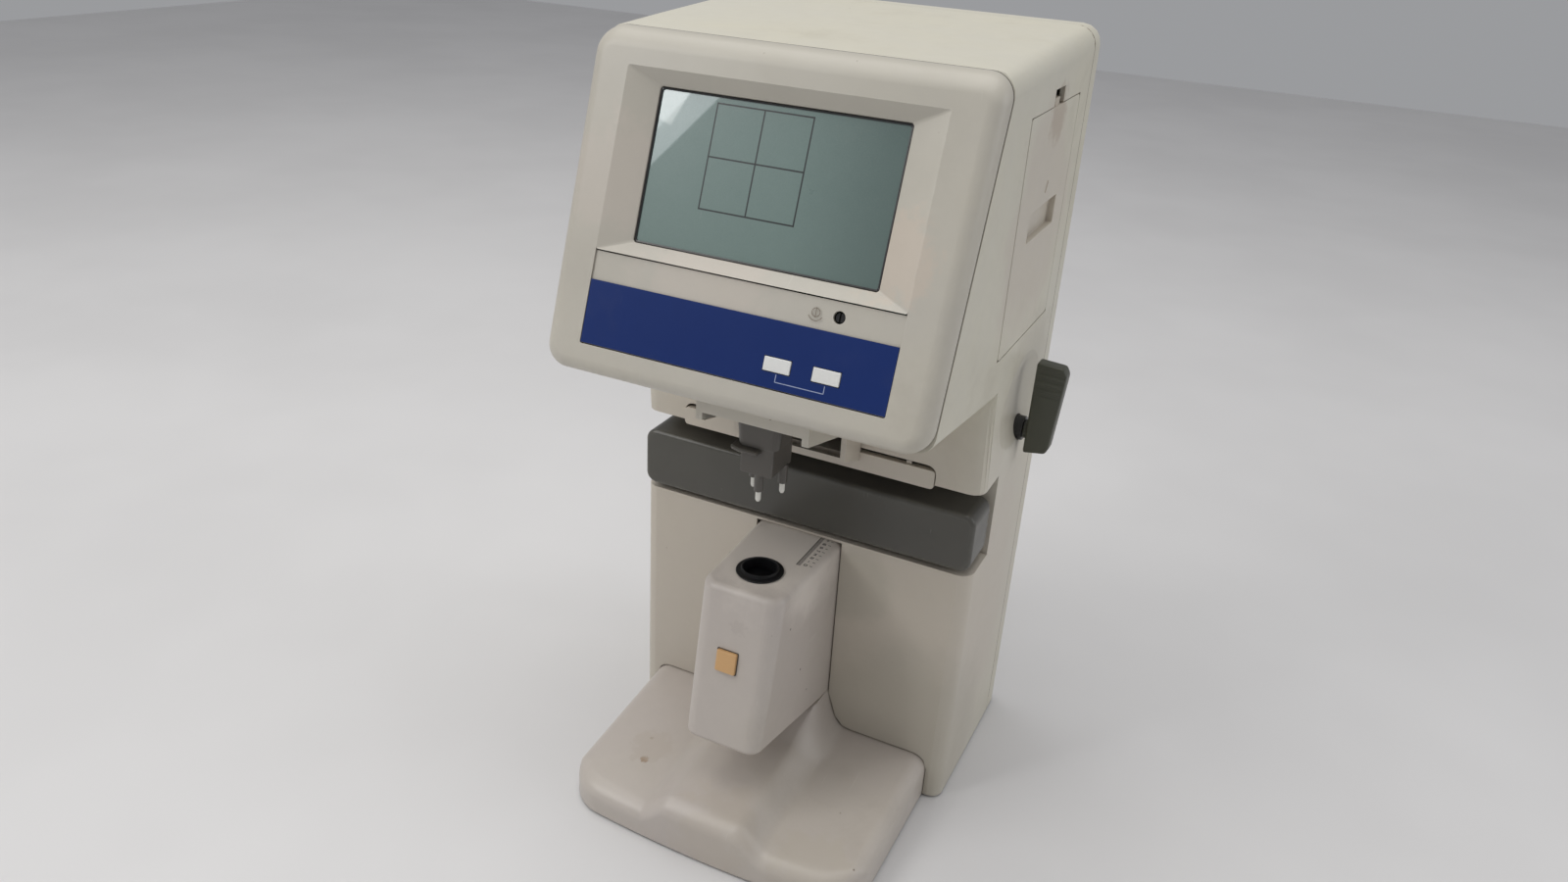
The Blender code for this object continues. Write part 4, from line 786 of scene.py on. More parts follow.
KEY_YELLOW = Finish(
    "hold_key_yellow", "yellow_key_plastic", (0.64, 0.38, 0.17), (0.66, 0.42, 0.2), roughness=0.45,
    dirt=(0.3, 0.15, 0.05), dirt_amount=0.2, specks=0.1, wear_and_highlight=(0.8, 0.55, 0.28),
)
BLACK = Finish(
    "satin_black", "black_plastic", (0.012, 0.012, 0.013), (0.018, 0.017, 0.017), roughness=0.3,
    dirt=(0.05, 0.045, 0.04), dirt_amount=0.2, specks=0.1, wear_and_highlight=(0.08, 0.08, 0.08), grime=0.2,
)
RING_BLACK = Finish(
    "ring_black", "black_plastic", (0.008, 0.008, 0.009), (0.014, 0.014, 0.015), roughness=0.42,
    dirt=(0.03, 0.028, 0.025), dirt_amount=0.1, specks=0.1, wear_and_highlight=(0.06, 0.06, 0.063),
    wear_and_highlight_amount=0.5, grime=0.0,
    specular=0.25,
)
RUBBER = Finish(
    "black_rubber_matte", "black_rubber", (0.02, 0.02, 0.02), (0.03, 0.028, 0.026), roughness=0.8,
    dirt=(0.1, 0.09, 0.08), dirt_amount=0.4, specks=0.3, wear_and_highlight=(0.06, 0.06, 0.06),
)
STEEL = Finish(
    "satin_steel", "steel", (0.5, 0.5, 0.51), (0.42, 0.42, 0.43), roughness=0.28, metallic=1.0,
    dirt=(0.12, 0.1, 0.08), dirt_amount=0.3, specks=0.1, wear_and_highlight=(0.75, 0.75, 0.75), scratches=0.6,
)
ALUMINIUM = Finish(
    "satin_aluminium", "aluminium", (0.6, 0.61, 0.62), (0.52, 0.53, 0.54), roughness=0.36, metallic=1.0,
    dirt=(0.2, 0.19, 0.18), dirt_amount=0.2, specks=0.1, wear_and_highlight=(0.8, 0.8, 0.8), scratches=0.5,
)
BOARD = Finish(
    "board_green", "circuit_board", (0.015, 0.09, 0.035), (0.02, 0.12, 0.045), roughness=0.4,
    dirt=(0.08, 0.07, 0.05), specks=0.3, wear_and_highlight=(0.1, 0.2, 0.12),
)
PAPER = Finish(
    "roll_paper", "paper", (0.78, 0.77, 0.74), (0.74, 0.71, 0.64), roughness=0.85, dirt=(0.5, 0.45, 0.36),
    specks=0.1, wear_and_highlight=(0.8, 0.8, 0.78), grain=0.2, grain_scale=2600.0,
)
LENS = Finish(
    "coated_lens", "display_glass", (0.003, 0.003, 0.004), (0.006, 0.005, 0.009), roughness=0.45, coat=0.08,
    coat_roughness=0.2, specular=0.12, specks=0.0, dirt=(0.01, 0.01, 0.01), dirt_amount=0.1,
    wear_and_highlight_amount=0.0, grime=0.0, grain=0.0, scratches=0.0,
)
SCREEN = ScreenFinish(
    "screen_green", "display_glass", (0.135, 0.208, 0.192), (0.17, 0.24, 0.218), roughness=0.3, coat=1.0,
    coat_roughness=0.02, tint_amount=0.0, dirt=(0.2, 0.22, 0.2), dirt_amount=0.05,
    specks=0.0, wear_and_highlight_amount=0.0,
    grime=0.25, grain=0.0, scratches=0.12,
)
LINE_WHITE = Finish(
    "print_white", "white_plastic", (0.36, 0.42, 0.6), (0.5, 0.52, 0.62), roughness=0.4, specks=0.0,
    wear_and_highlight_amount=0.0, grime=0.0, grain=0.02,
)
# Dark print; the same finish paints the shade in the bezel's seam and round the hold key.
LINE_DARK = Finish(
    "dark_print_and_shade", "black_plastic", (0.05, 0.045, 0.04), (0.07, 0.06, 0.05), roughness=0.5, specks=0.0,
    wear_and_highlight_amount=0.0, grime=0.0, grain=0.02,
)
# Brown print; the same finish paints the shade in the rear cover's seam.
LINE_BROWN = Finish(
    "outline_brown", "black_plastic", (0.2, 0.16, 0.12), (0.24, 0.19, 0.14), roughness=0.5, specks=0.0,
    wear_and_highlight_amount=0.0, grime=0.0, grain=0.02,
)
TIP_WHITE = Finish(
    "tip_white", "white_plastic", (0.78, 0.77, 0.72), (0.7, 0.67, 0.58), roughness=0.35,
    specks=0.1, grime=0.3,
)


# ------------------------------------------------------------------ sub-assemblies


@dataclass
class Case:
    """Column and head in one moulding, the rear cover, its screws and the side door."""

    half: float = 100.0
    bottom: float = 1.5
    roof: float = 422.0
    corner: float = 10.0
    seam: tuple[float, float] = (93.8, 94.45)
    door_side: float = 0.16

    def build(self) -> None:
        """Dresses the case's mouldings."""
        frame_copy("main_housing", IVORY, 0.35)
        frame_copy("rear_cover", IVORY, 0.35)
        frame_copy("printer_door", IVORY, 0.35)
        for number in range(1, 5):
            frame_copy(f"cover_screw_{number}", STEEL, 0.15)
        self.rear_seam()
        self.door_arrow()

    def rear_seam(self) -> None:
        """A dark strip that paints the shade in the gap before the rear cover, proud by 0.02 mm on the door's
        side.
        """
        front, back = self.seam
        rings = []
        for y, inset in ((front, 0.14), (back, 0.14), (back, 0.5), (front, 0.5)):
            low = (-self.half + inset, self.bottom + inset)
            high = (self.half + self.door_side - inset, self.roof - inset)
            flat = rectangle(low, high, self.corner - inset)
            rings.append(np.stack([flat[:, 0], np.full(len(flat), y), flat[:, 1]], -1))
        loft("rear_seam", np.array(rings), LINE_BROWN, "case", closed=True)

    def door_arrow(self) -> None:
        """A small raised arrow above the door's finger pull: a triangle prism."""
        outline = np.array([(36.0, 357.5), (33.2, 352.2), (38.8, 352.2)])
        rings = []
        for x, shrink in ((99.9, 1.0), (100.4, 1.0), (100.7, 0.8)):
            middle = outline.mean(0)
            flat = middle + (outline - middle) * shrink
            rings.append(np.stack([np.full(3, x), flat[:, 0], flat[:, 1]], -1))
        loft("door_arrow", np.array(rings), IVORY, "door_body")


@dataclass
class Bezel:
    """Front frame of the head with its round edge, and the sloping surround of the display."""

    depth: float = 10.7
    edge: float = 8.0
    corner: float = 12.0
    half_top: float = 98.78
    half_bottom: float = 97.35
    opening_half: float = 77.1
    opening_bottom: float = 128.5
    screen_bottom: float = 84.1
    glass_half: float = 61.2
    glass_top: float = 6.8
    glass_bottom: float = 77.8
    glass_depth: float = 4.6
    roof: tuple[float, float] = (416.94, 0.0538)
    floor: tuple[float, float] = (253.2, -0.115)

    def build(self) -> None:
        """Builds the frame and the surround."""
        self.frame_ring()
        self.seam()
        self.surround()

    def outer(self, depth: float, inset: float) -> Array:
        """The frame's outline at a depth: a round-cornered rectangle that narrows downwards."""
        top = float(FACE.level(depth, *self.roof)) + inset
        bottom = float(FACE.level(depth, *self.floor)) - inset
        radius = max(self.corner - inset, 3.5)
        flat = rectangle((-100.0, -bottom), (100.0, -top), radius)
        v = -flat[:, 1]
        half = self.half_top + (self.half_bottom - self.half_top) * (v - top) / (bottom - top) - inset
        return FACE.place(self.squeeze(flat[:, 0], half), v, depth)

    @staticmethod
    def squeeze(u: Array, half: Array) -> Array:
        """Moves the sides of an outline drawn 100 wide to this half-width, with its corners kept."""
        return np.sign(u) * (np.abs(u) - 100.0 + half)

    def inner(
        self, low: tuple[float, float], high: tuple[float, float], radius: float, depth: float
    ) -> Array:
        """A rectangle on the face, given by u and v at its two corners."""
        flat = rectangle((low[0], -high[1]), (high[0], -low[1]), radius)
        return FACE.place(flat[:, 0], -flat[:, 1], depth)

    def frame_ring(self) -> None:
        """Carries the frame's section round: side, round edge, face, opening and inner wall."""
        eased_back = ((0.0, 0.7), (0.35, 0.3), (0.9, 0.0))
        rings = [self.outer(self.depth - short, inset) for short, inset in eased_back]
        for inset, rise in quarter(self.edge, 10):
            rings.append(self.outer(self.edge - rise, inset))
        low, high = (-self.opening_half, 0.0), (self.opening_half, self.opening_bottom)
        for grow, depth in ((0.0, 0.0), (0.0, 2.6), (3.0, 3.0)):
            start, end = (low[0] - grow, low[1] - grow), (high[0] + grow, high[1] + grow)
            rings.append(self.inner(start, end, 1.0, depth))
        rings.append(self.outer(self.depth, 2.6))
        loft("bezel_frame", np.array(rings), BEZEL_IVORY, "case", closed=True)
        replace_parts(bpy.data.objects["bezel_frame"], "front_bezel")

    def seam(self) -> None:
        """A dark strip in the gap behind the frame, just below the case's surface, that paints the shade in
        the gap.
        """
        section = ((-0.25, 0.14), (0.5, 0.14), (0.5, 0.5), (-0.25, 0.5))
        rings = np.array([self.outer(self.depth + past, inset) for past, inset in section])
        loft("bezel_seam", rings, LINE_DARK, "case", closed=True)

    def surround(self) -> None:
        """The funnel from the face down to the glass, with eased inner edges."""
        wide = (self.opening_half, 0.0, self.screen_bottom)
        tight = (self.glass_half, self.glass_top, self.glass_bottom)
        steps = ((0.0, 0.0), (0.03, 0.03), (0.97, 0.97), (1.0, 1.06), (1.0, 1.6))
        rings = [self.inner((-wide[0], wide[1]), (wide[0], wide[2]), 1.0, 2.6)]
        for share, fall in steps:
            half, top, bottom = (a + (b - a) * share for a, b in zip(wide, tight))
            rings.append(self.inner((-half, top), (half, bottom), 1.0 + 0.6 * share, self.glass_depth * fall))
        rings.append(self.inner((-tight[0] - 3, tight[1] - 3), (tight[0] + 3, tight[2] + 3), 1.0, 7.6))
        rings.append(self.inner((-wide[0] + 1.5, wide[1] + 1), (wide[0] - 1.5, wide[2] - 1), 1.0, 5.6))
        loft("screen_surround", np.array(rings), BEZEL_IVORY, "case", closed=True)


@dataclass
class Screen:
    """The display behind the surround: black gasket edge and the glossy grey-green face."""

    half: float = 61.0
    top: float = 7.0
    bottom: float = 77.6
    depth: float = 5.9
    lip: float = 0.9

    def build(self) -> None:
        """Builds the gasket and the face."""
        self.gasket()
        self.face()

    def gasket(self) -> None:
        """A thin black ring whose section is carried round the glass."""
        rings = []
        for inset, depth in ((-0.1, 7.2), (-0.1, 5.5), (0.25, 5.3), (self.lip, 5.45), (self.lip, 7.2)):
            low = (-self.half + inset, -self.bottom + inset)
            flat = rectangle(low, (self.half - inset, -self.top - inset), 1.2)
            rings.append(FACE.place(flat[:, 0], -flat[:, 1], depth))
        loft("screen_gasket", np.array(rings), BLACK, "case", closed=True)

    def face(self) -> None:
        """A plate whose front carries the pattern map, u and v in millimetres / 100."""
        rings, chart = [], []
        for depth, inset in ((self.depth + 1.2, 0.1), (self.depth, 0.1)):
            low = (-self.half + inset, -self.bottom + inset)
            flat = rectangle(low, (self.half - inset, -self.top - inset), 1.0)
            rings.append(FACE.place(flat[:, 0], -flat[:, 1], depth))
            chart.append(flat * (0.01, -0.01))
        faces = loft_faces(2, len(rings[0]), False)
        piece = add_piece("screen_face", np.array(rings), faces, SCREEN, "case", uv=np.array(chart))
        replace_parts(piece, "display_window")


@dataclass
class ControlPanel:
    """The panel under the display: insert, blue film, keys, dial and its printed marks."""

    half: float = 77.1
    top: float = 84.4
    bottom: float = 128.2

    def build(self) -> None:
        """Dresses the panel's pieces and draws its marks."""
        frame_copy("control_panel", BEZEL_IVORY, 0.2)
        frame_copy("blue_film", FILM_BLUE, 0.08)
        frame_copy("mode_key", KEY_WHITE, 0.0)
        frame_copy("output_key", KEY_WHITE, 0.0)
        frame_copy("contrast_dial", BLACK, 0.1)
        self.bracket()
        self.contrast_mark()

    @staticmethod
    def on_film(u: Array, v: Array, height: Array) -> Array:
        """Points above the film."""
        return FACE.place(u, v, 0.2 - np.asarray(height))

    def bracket(self) -> None:
        """A thin line under both keys that joins them."""
        path = [(24.3, 121.3), (24.3, 124.7), (47.6, 124.7), (47.6, 121.3)]
        points, faces = strip_shell([np.array(path[i : i + 2]) for i in range(3)], 0.34, 0.05, self.on_film)
        add_piece("key_bracket", points, faces, LINE_WHITE, "case")

    def contrast_mark(self) -> None:
        """A generic contrast sign: a circle with a vertical line, and an arc below it."""
        angle = np.linspace(0, 2 * math.pi, 33)
        circle = np.stack([36.8 + 1.9 * np.cos(angle), 91.2 + 1.9 * np.sin(angle)], -1)
        bar = np.array([(36.8, 89.0), (36.8, 93.4)])
        arc_angle = np.linspace(0.15 * math.pi, 0.85 * math.pi, 17)
        arc = np.stack([36.8 + 3.6 * np.cos(arc_angle), 91.2 + 3.6 * np.sin(arc_angle)], -1)
        points, faces = strip_shell([circle, bar, arc], 0.3, 0.04, self.on_film)
        add_piece("contrast_mark", points, faces, LINE_BROWN, "case")


@dataclass
class Base:
    """Base tongue with its hump and pads, and the nose arm that stands on it."""

    half: float = 90.0
    corner: float = 24.0
    front: float = -108.5
    bow: float = 5.5
    rear: float = 2.0
    rim: float = 9.0
    bottom: float = 1.5
    nose_top: float = 151.5
    nose_half_front: float = 23.2
    nose_half_chin: float = 21.7
    nose_half_rear: float = 25.7
    nose_top_y: float = -70.5
    nose_chin_y: float = -87.6
    nose_chin_height: float = 63.0
    nose_edge: float = 3.8
    key_height: float = 112.3
    digits: tuple[tuple[tuple[int, int], ...], ...] = (
        ((2, 0), (2, 2), (0, 2), (0, 0), (2, 0)), ((1, 0), (1, 2)),
        ((0, 2), (2, 2), (2, 1), (0, 1), (0, 0), (2, 0)),
        ((0, 2), (2, 2), (1, 1), (2, 0), (0, 0)), ((0, 2), (0, 1), (2, 1), (2, 2), (2, 0)),
        ((2, 2), (0, 2), (0, 1), (2, 1), (2, 0), (0, 0)), ((2, 2), (0, 2), (0, 0), (2, 0), (2, 1), (0, 1)),
        ((0, 2), (2, 2), (1, 0)),
    )
    ring_centre: tuple[float, float] = (0.0, -47.5)
    across: int = 220
    deep: int = 130

    def build(self) -> None:
        """Builds the base and the nose, and dresses what is under them."""
        self.tongue()
        self.nose()
        self.hold_key()
        self.scale_label()
        frame_copy("base_plate", STEEL)
        for name in ("foot_front_left", "foot_front_right", "foot_rear_left", "foot_rear_right"):
            frame_copy(name, RUBBER)

    @staticmethod
    def step(value: Array, low: Array, high: Array) -> Array:
        """Smooth step: 3t^2 - 2t^3 with t from 0 at low to 1 at high."""
        t = np.clip((value - low) / (high - low), 0.0, 1.0)
        return t * t * (3 - 2 * t)

    def front_line(self, x: Array) -> Array:
        """The front edge's y: a shallow bow, then a quarter circle at each corner."""
        bow = self.front + self.bow * (x / self.half) ** 2
        reach = np.clip(np.abs(x) - (self.half - self.corner), 0, None)
        return bow + self.corner - np.sqrt(np.clip(self.corner**2 - reach**2, 0, None))

    def height(self, x: Array, y: Array) -> Array:
        """Top of the base: pads that fall forwards, a hump that rises backwards, and a web."""
        back = self.step(y, -38.0, -12.0)
        pad = 28.0 - 9.5 * np.clip(-y / 98.0, 0, 1)
        ridge = 30.0 + 9.0 * np.clip((y + 98.0) / 80.0, 0, 1) ** 2 + 13.0 * back
        half = 20.0 + (self.nose_half_rear - 20.0) * back
        foot = 38.0 + 4.0 * back
        share = np.clip((foot - np.abs(x)) / (foot - half), 0, 1)
        rise = (1 - back) * self.step(share, 0.0, 1.0) + back * share**3
        return pad + (ridge - pad) * rise

    def tongue(self) -> None:
        """A closed shell of two grids: the top at its height, rolled over at the rim, and the floor."""
        t = np.linspace(0, 1, self.across + 1)
        x = self.half * (0.55 * np.sin(np.pi * (t - 0.5)) + 0.45 * (2 * t - 1))
        s = (1 - (1 - np.linspace(0, 1, self.deep + 1)) ** 1.6) ** 1.4
        x, s = np.meshgrid(x, s)
        line = self.front_line(x)
        y = line + (self.rear - line) * s
        edge = np.clip(np.minimum(self.half - np.abs(x), (y - line) * 0.9), 0, self.rim)
        fall = self.rim - np.sqrt(self.rim**2 - (self.rim - edge) ** 2)
        upper = np.stack([x, y, self.height(x, y) - fall], -1)
        lower = np.stack([x, y, np.full_like(x, self.bottom)], -1)
        faces = grid_shell_faces(*x.shape)
        piece = add_piece("base_tongue", np.stack([upper, lower]), faces, BASE_GREY, "case", Shading.SOFT)
        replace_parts(piece, "base_arm_moulding")

    def nose_outline(self, inset: float, share: float) -> tuple[Array, Array]:
        """The arm's plan at a share of its front's height, and each point's share of the way back."""
        front = self.nose_chin_y + (self.nose_top_y - self.nose_chin_y) * share + inset
        half = self.nose_half_chin + (self.nose_half_front - self.nose_half_chin) * share
        corner = 7.5 + 1.5 * share - inset
        outline = rectangle((-half + inset, front), (half - inset, self.rear + corner), corner, 9)
        flat = self.divided(outline, 10)
        flat[:, 1] = np.minimum(flat[:, 1], self.rear)
        back = (flat[:, 1] - front) / (self.rear - front)
        wide = flat[:, 0] * (1 + (self.nose_half_rear / half - 1) * back)
        return np.stack([wide, flat[:, 1]], -1), back

    @staticmethod
    def divided(flat: Array, parts: int) -> Array:
        """An outline with each of its segments cut into this many equal parts."""
        after = np.roll(flat, -1, 0)
        share = np.linspace(0, 1, parts, endpoint=False)[None, :, None]
        return (flat[:, None] + (after - flat)[:, None] * share).reshape(-1, 2)

    def nose(self) -> None:
        """Plan outlines carried up from the chin to the top, then in to the round hole's edge and down."""
        edge = quarter(self.nose_edge, 7)
        tall = self.nose_top - self.nose_chin_height
        stops = [(inset, self.nose_edge - rise) for inset, rise in edge[::-1]]
        stops += [(0.0, height) for height in np.linspace(self.nose_edge, tall - self.nose_edge, 14)[1:-1]]
        stops += [(inset, tall - self.nose_edge + rise) for inset, rise in edge]
        rings = []
        for inset, height in stops:
            share = height / tall
            plan, back = self.nose_outline(inset, share)
            low = self.nose_chin_height - 15.5 * back
            rings.append(np.column_stack([plan, low + (self.nose_top - low) * share]))
        plan = rings[-1][:, :2]
        away = plan - self.ring_centre
        away /= np.linalg.norm(away, axis=1, keepdims=True)
        for hole, z in ((11.3, self.nose_top), (10.9, self.nose_top - 0.4), (10.9, self.nose_top - 6.0)):
            rings.append(np.column_stack([np.array(self.ring_centre) + hole * away, np.full(len(away), z)]))
        loft("nose_arm", np.array(rings), BASE_GREY, "case")

    def nose_front(self, a: Array, b: Array, height: Array) -> Array:
        """Points on the nose's front: a across, b up the slope from the key, and a height above it."""
        lean = math.atan2(self.nose_top_y - self.nose_chin_y, self.nose_top - self.nose_chin_height)
        a, b, height = np.broadcast_arrays(*(np.asarray(v, float) for v in (a, b, height)))
        drop = self.nose_top - self.key_height
        y = self.nose_top_y - drop * math.tan(lean) + b * math.sin(lean) - height * math.cos(lean)
        z = self.key_height + b * math.cos(lean) + height * math.sin(lean)
        return np.stack([a - 1.6, y, z], -1)

    def hold_key(self) -> None:
        """The yellow key with its crowned cap, and a thin dark frame round it that paints the shade of the
        gap round the key.
        """
        rings = []
        for half, height in ((5.75, -2.4), (5.75, 1.4), (5.55, 1.8), (5.1, 1.98), (3.0, 2.02)):
            flat = rectangle((-half, -half - 0.2), (half, half + 0.2), 0.7)
            rings.append(self.nose_front(flat[:, 0], flat[:, 1], height))
        piece = loft("hold_key_cap", np.array(rings), KEY_YELLOW, "hold_key_body")
        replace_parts(piece, "hold_key")
        rings = []
        # The frame is painted shade of the gap round the key.
        for half, height in ((5.9, -1.0), (5.9, 0.18), (6.25, 0.18), (6.35, -0.1), (6.35, -1.0)):
            flat = rectangle((-half, -half - 0.2), (half, half + 0.2), 0.8)
            rings.append(self.nose_front(flat[:, 0], flat[:, 1], height))
        loft("hold_key_frame", np.array(rings), LINE_DARK, "case", closed=True)

    def scale_label(self) -> None:
        """A rule by the arm's right edge: a line, close ticks, and wide ticks with a digit each."""
        ticks = [np.array([(14.0, y), (15.9, y)]) for y in np.arange(-31.5, 2.5, 0.9)]
        ticks.append(np.array([(13.7, -31.8), (13.7, 2.0)]))
        for digit in range(8):
            y = -29.8 + 4.1 * digit
            ticks.append(np.array([(20.4, y), (22.0, y)]))
            shape = np.array(self.digits[digit], float) * (0.8, 0.72) + (17.4, y - 0.8)
            ticks += [shape[i : i + 2] for i in range(len(shape) - 1)]

        def on_top(a: Array, b: Array, height: Array) -> Array:
            """Points above the arm's top."""
            a, b, height = np.broadcast_arrays(*(np.asarray(v, float) for v in (a, b, height)))
            return np.stack([a, b, self.nose_top + height], -1)

        points, faces = strip_shell(ticks, 0.42, 0.05, on_top)
        add_piece("arm_scale", points, faces, LINE_DARK, "case")


@dataclass
class Optics:
    """The lens rest ring and the small lens in it."""

    centre: tuple[float, float] = (0.0, -47.5)

    def build(self) -> None:
        """Builds the ring and the lens."""
        ring = [(8.8, 147.0), (10.6, 147.0), (10.6, 151.7), (12.3, 151.7), (12.7, 151.95), (12.7, 152.3),
                (12.45, 152.55), (11.4, 152.75), (10.5, 152.9), (10.15, 153.1), (9.95, 153.9), (9.75, 154.25),
                (9.45, 154.4), (9.15, 154.3), (8.95, 154.0), (8.8, 153.4)]
        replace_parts(turned("lens_rest", ring, self.centre, RING_BLACK, "case"), "lens_rest_ring")
        lens = [(0.01, 147.7), (8.6, 147.7), (8.6, 148.4), (7.4, 148.9), (6.0, 149.3), (4.0, 149.7),
                (2.0, 149.9), (0.01, 150.0)]
        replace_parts(turned("rest_lens", lens, self.centre, LENS, "case", closed=False), "nose_lens")


@dataclass
class LensTable:
    """The dark bar that frames rest against, with its round edges."""

    half: float = 99.0
    bottom: float = 156.5
    top: float = 190.5
    front: float = -2.0
    rear: float = 24.0
    corner: float = 6.5
    edge: float = 2.4

    def build(self) -> None:
        """Builds the bar."""
        rings = []
        rear_edge = ((self.rear - 0.4, 6.0), (self.rear, 5.6), (self.rear, 0.5), (self.rear - 0.5, 0.0))
        for y, inset in ((5.0, 6.0), *rear_edge):
            rings.append(self.section(y, inset))
        for inset, rise in quarter(self.edge, 8):
            rings.append(self.section(self.front + self.edge - rise, inset))
        piece = loft("table_bar", np.array(rings), TABLE_GREY, "lens_table_body")
        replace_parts(piece, "lens_table")

    def section(self, y: float, inset: float) -> Array:
        """The bar's round-cornered front outline at a depth."""
        low = (-self.half + inset, self.bottom + inset)
        high = (self.half - inset, self.top - inset)
        flat = rectangle(low, high, max(self.corner - inset, 1.5), 10)
        return np.stack([flat[:, 0], np.full(len(flat), y), flat[:, 1]], -1)


@dataclass
class Fittings:
    """The other frame nodes, by finish: each is dressed as a merged copy, with its edges eased where a width
    is given.
    """

    dressed: dict[str, tuple[Finish, float]] = field(default_factory=lambda: {
        "table_lever": (LEVER_OLIVE, 0.5), "lever_bush": (BLACK, 0.2), "lever_crank": (STEEL, 0.2),
        "lens_holder": (HOLDER_GREY, 0.3), "holder_guide": (BLACK, 0.2), "marker_shield": (BEZEL_IVORY, 0.3),
        "marker_shelf": (IVORY, 0.25), "marker_carriage": (BLACK, 0.2), "printer_unit": (BLACK, 0.3),
        "paper_roll": (PAPER, 0.0), "power_entry": (BLACK, 0.25), "power_rocker": (BLACK, 0.3),
        "power_supply": (STEEL, 0.0), "data_port": (STEEL, 0.2), "main_board": (BOARD, 0.0),
        "key_board": (BOARD, 0.0), "sensor_board": (BOARD, 0.0), "chassis_frame": (STEEL, 0.0),
        "display_gasket": (RUBBER, 0.0), "display_module": (ALUMINIUM, 0.0), "relay_tube": (ALUMINIUM, 0.0),
        "collimator_tube": (ALUMINIUM, 0.0), "lamp_housing": (ALUMINIUM, 0.0),
        "table_carriage": (ALUMINIUM, 0.2),
        "guide_block_left": (ALUMINIUM, 0.0), "guide_block_right": (ALUMINIUM, 0.0),
        "holder_spring": (STEEL, 0.0),
        "table_rod_left": (STEEL, 0.0), "table_rod_right": (STEEL, 0.0),
        "holder_tip_1": (TIP_WHITE, 0.0), "holder_tip_2": (TIP_WHITE, 0.0), "holder_tip_3": (TIP_WHITE, 0.0),
        "marker_pen_1": (LEVER_OLIVE, 0.0), "marker_pen_2": (LEVER_OLIVE, 0.0),
        "marker_pen_3": (LEVER_OLIVE, 0.0),
    })

    def build(self) -> None:
        """Dresses each node."""
        for node, (finish, edge) in self.dressed.items():
            frame_copy(node, finish, edge)


# ------------------------------------------------------------------ studio


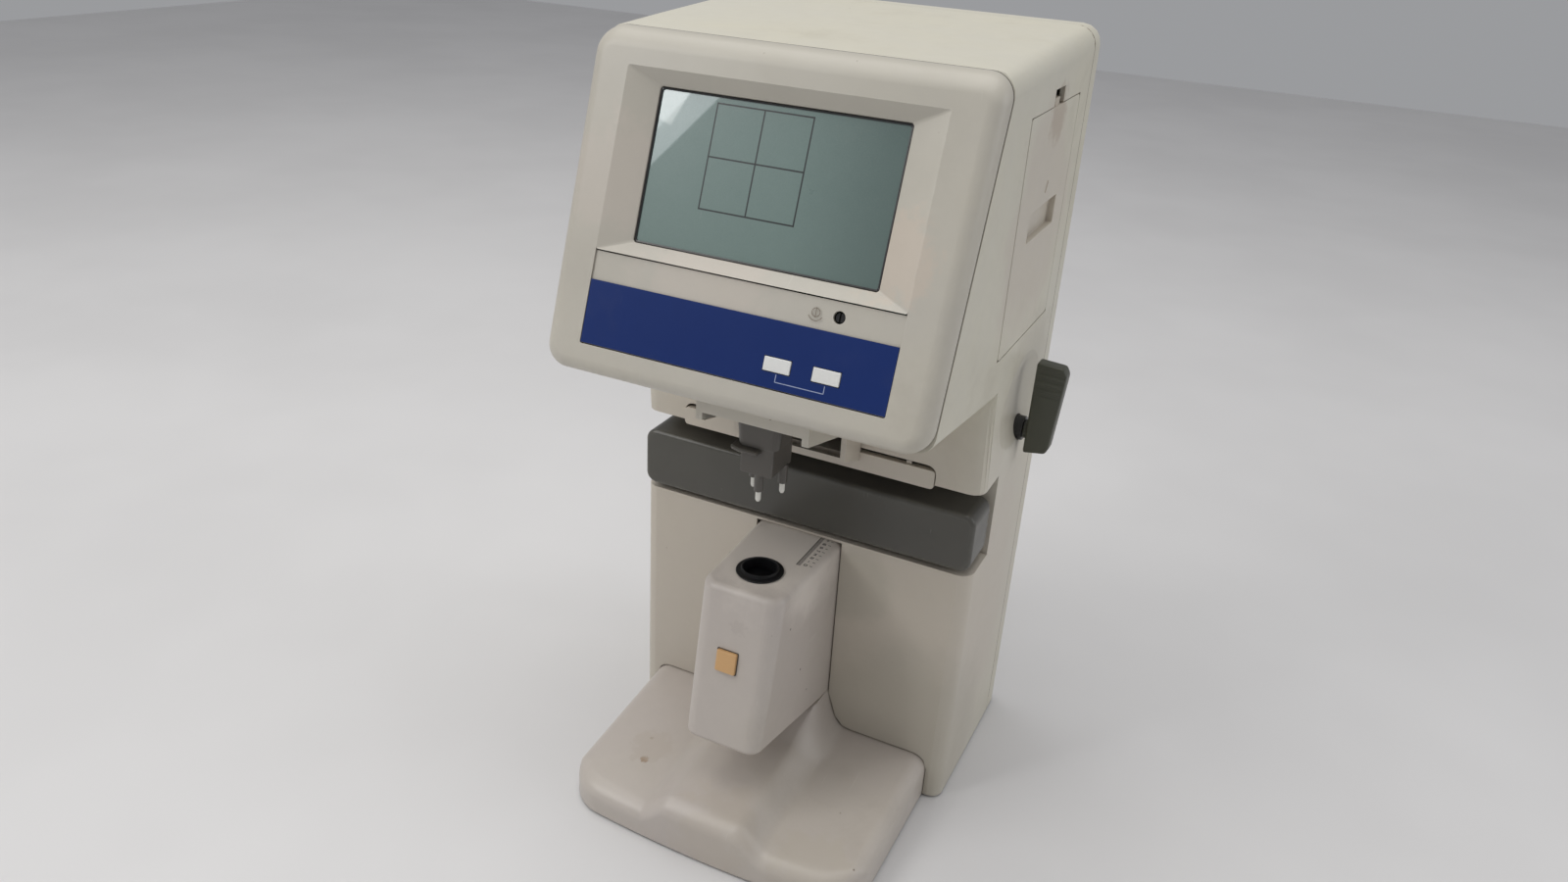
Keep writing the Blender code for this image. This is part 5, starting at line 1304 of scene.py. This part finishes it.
@dataclass
class Studio:
    """Camera, soft lights, pale surroundings and the floor."""

    eye: tuple[float, float, float] = (226.03, -521.93, 486.73)
    yaw: float = math.radians(24.56)
    pitch: float = math.radians(-26.19)
    roll: float = math.radians(3.55)
    lens: float = 27.084

    def build(self) -> None:
        """Sets up everything round the instrument."""
        self.camera()
        self.world()
        self.floor()
        self.light(
            "overhead_softbox", (-0.3, 0.0, 2.1), (-0.05, 0.0, 0.2), (2.0, 2.0), 24.0, (1.0, 0.99, 0.965),
        )
        self.light("side_softbox", (1.75, 0.4, 0.95), (0.0, 0.05, 0.25), (1.2, 1.2), 6.5, (0.98, 0.985, 1.0))
        self.light(
            "left_softbox", (-1.05, -1.0, 1.35), (0.0, -0.05, 0.15), (0.8, 0.8), 8.0, (1.0, 0.985, 0.96),
        )
        self.window()

    def camera(self) -> None:
        """The camera: it looks along (-sin yaw cos pitch, cos yaw cos pitch, sin pitch), then rolls."""
        ahead = Vector((-math.sin(self.yaw) * math.cos(self.pitch), math.cos(self.yaw) * math.cos(self.pitch),
                        math.sin(self.pitch)))
        across = Vector((math.cos(self.yaw), math.sin(self.yaw), 0.0))
        upward = across.cross(ahead)
        right = math.cos(self.roll) * across + math.sin(self.roll) * upward
        up = -math.sin(self.roll) * across + math.cos(self.roll) * upward
        data = bpy.data.cameras.new("camera")
        data.lens = self.lens
        data.sensor_width = 36.0
        data.clip_start = 0.01
        seen = bpy.data.objects.new("camera", data)
        turn = Matrix((right, up, -ahead)).transposed().to_4x4()
        place = Vector(np.array(self.eye) * MM + ORIGIN)
        seen.matrix_world = Matrix.Translation(place) @ turn
        bpy.context.scene.collection.objects.link(seen)
        bpy.context.scene.camera = seen
        bpy.context.scene.view_settings.view_transform = "Standard"

    def world(self) -> None:
        """Even pale surroundings."""
        world = bpy.data.worlds.new("pale_room")
        world.use_nodes = True
        background = world.node_tree.nodes["Background"]
        background.inputs["Color"].default_value = (0.95, 0.965, 1.0, 1.0)
        background.inputs["Strength"].default_value = 0.34
        bpy.context.scene.world = world

    def floor(self) -> None:
        """A wide plain pale floor."""
        size = 3.0
        corners = [(-size, -size, 0.0), (size, -size, 0.0), (size, size, 0.0), (-size, size, 0.0)]
        mesh = bpy.data.meshes.new("floor")
        mesh.from_pydata(corners, [], [[0, 1, 2, 3]])
        made = bpy.data.materials.new("pale_floor")
        made.use_nodes = True
        wires = Wiring(made.node_tree)
        where = wires.add("ShaderNodeTexCoord").outputs["Object"]
        patchy = wires.ramp(wires.noise(where, 3.0, 3.0), 0.3, 0.7)
        shade = wires.mix(patchy, (0.68, 0.67, 0.67, 1.0), (0.72, 0.71, 0.71, 1.0))
        shader = made.node_tree.nodes["Principled BSDF"]
        wires.tree.links.new(shade, shader.inputs["Base Color"])
        shader.inputs["Roughness"].default_value = 0.5
        mesh.materials.append(made)
        ground = bpy.data.objects.new("floor", mesh)
        bpy.context.scene.collection.objects.link(ground)

    def light(self, name: str, at: Sequence[float], towards: Sequence[float], size: tuple[float, float],
              power: float, colour: Colour) -> bpy.types.Object:
        """A soft rectangular light.

        Args:
            name: Its name.
            at: Where it stands, in metres.
            towards: What it faces.
            size: Its width and height.
            power: Its power in watts.
            colour: Its colour.

        Returns:
            The light.
        """
        data = bpy.data.lights.new(name, "AREA")
        data.shape = "RECTANGLE"
        data.size, data.size_y = size
        data.energy = power
        data.color = colour
        lamp = bpy.data.objects.new(name, data)
        lamp.location = at
        aim = Vector(towards) - Vector(at)
        lamp.rotation_euler = aim.to_track_quat("-Z", "Y").to_euler()
        bpy.context.scene.collection.objects.link(lamp)
        return lamp

    def window(self) -> None:
        """Two bright panes that the display mirrors across its upper left corner."""
        self.mirrored_pane("window_pane", (-27.0, 3.0), (-63.0, 46.0), (0.4, 0.24), 4.2)
        self.mirrored_pane("window_sky", (-42.0, 3.0), (-63.0, 30.0), (0.3, 0.16), 3.2)

    def mirrored_pane(
        self, name: str, first: tuple[float, float], last: tuple[float, float], size: tuple[float, float],
        radiance: float,
    ) -> None:
        """A light whose long edge the display mirrors along the line between two of its points.

        Args:
            name: The light's name.
            first: Where the edge starts on the display, as u and v.
            last: Where it ends.
            size: The light's length along that edge and its width away from it.
            radiance: How bright it looks.
        """
        ends = [self.mirror_point(*place, 2.0) for place in (first, last)]
        middle = (ends[0] + ends[1]) / 2
        towards = Vector(middle - (FACE.place(-45.0, 20.0, 5.9) * MM + ORIGIN)).normalized()
        along = Vector(ends[1] - ends[0])
        along = (along - along.dot(towards) * towards).normalized()
        aside = towards.cross(along)
        corner = Vector(self.mirror_point(-61.0, 7.0, 2.0) - middle)
        reach = aside * math.copysign(size[1] / 2, aside.dot(corner))
        power = radiance * math.pi * size[0] * size[1]
        lamp = self.light(name, middle, middle, size, power, (0.93, 0.97, 1.0))
        turn = Matrix((along, aside, towards)).transposed().to_4x4()
        lamp.matrix_world = Matrix.Translation(Vector(middle) + reach) @ turn

    def mirror_point(self, u: float, v: float, away: float) -> Array:
        """The point that the camera sees mirrored at u and v, this far from the display, in metres."""
        spot = FACE.place(u, v, 5.9) * MM + ORIGIN
        eye = np.array(self.eye) * MM + ORIGIN
        ahead = (spot - eye) / np.linalg.norm(spot - eye)
        out = np.array([0.0, -math.cos(FACE.tilt), math.sin(FACE.tilt)])
        return spot + away * (ahead - 2 * np.dot(ahead, out) * out)


def main() -> None:
    """Builds every sub-assembly in order."""
    logging.basicConfig(level=logging.INFO, format="%(name)s %(message)s")
    Studio().build()
    for part in (Case(), Bezel(), Screen(), ControlPanel(), Base(), Optics(), LensTable(), Fittings()):
        LOG.info("building %s", type(part).__name__)
        part.build()


if __name__ == "__main__":
    main()
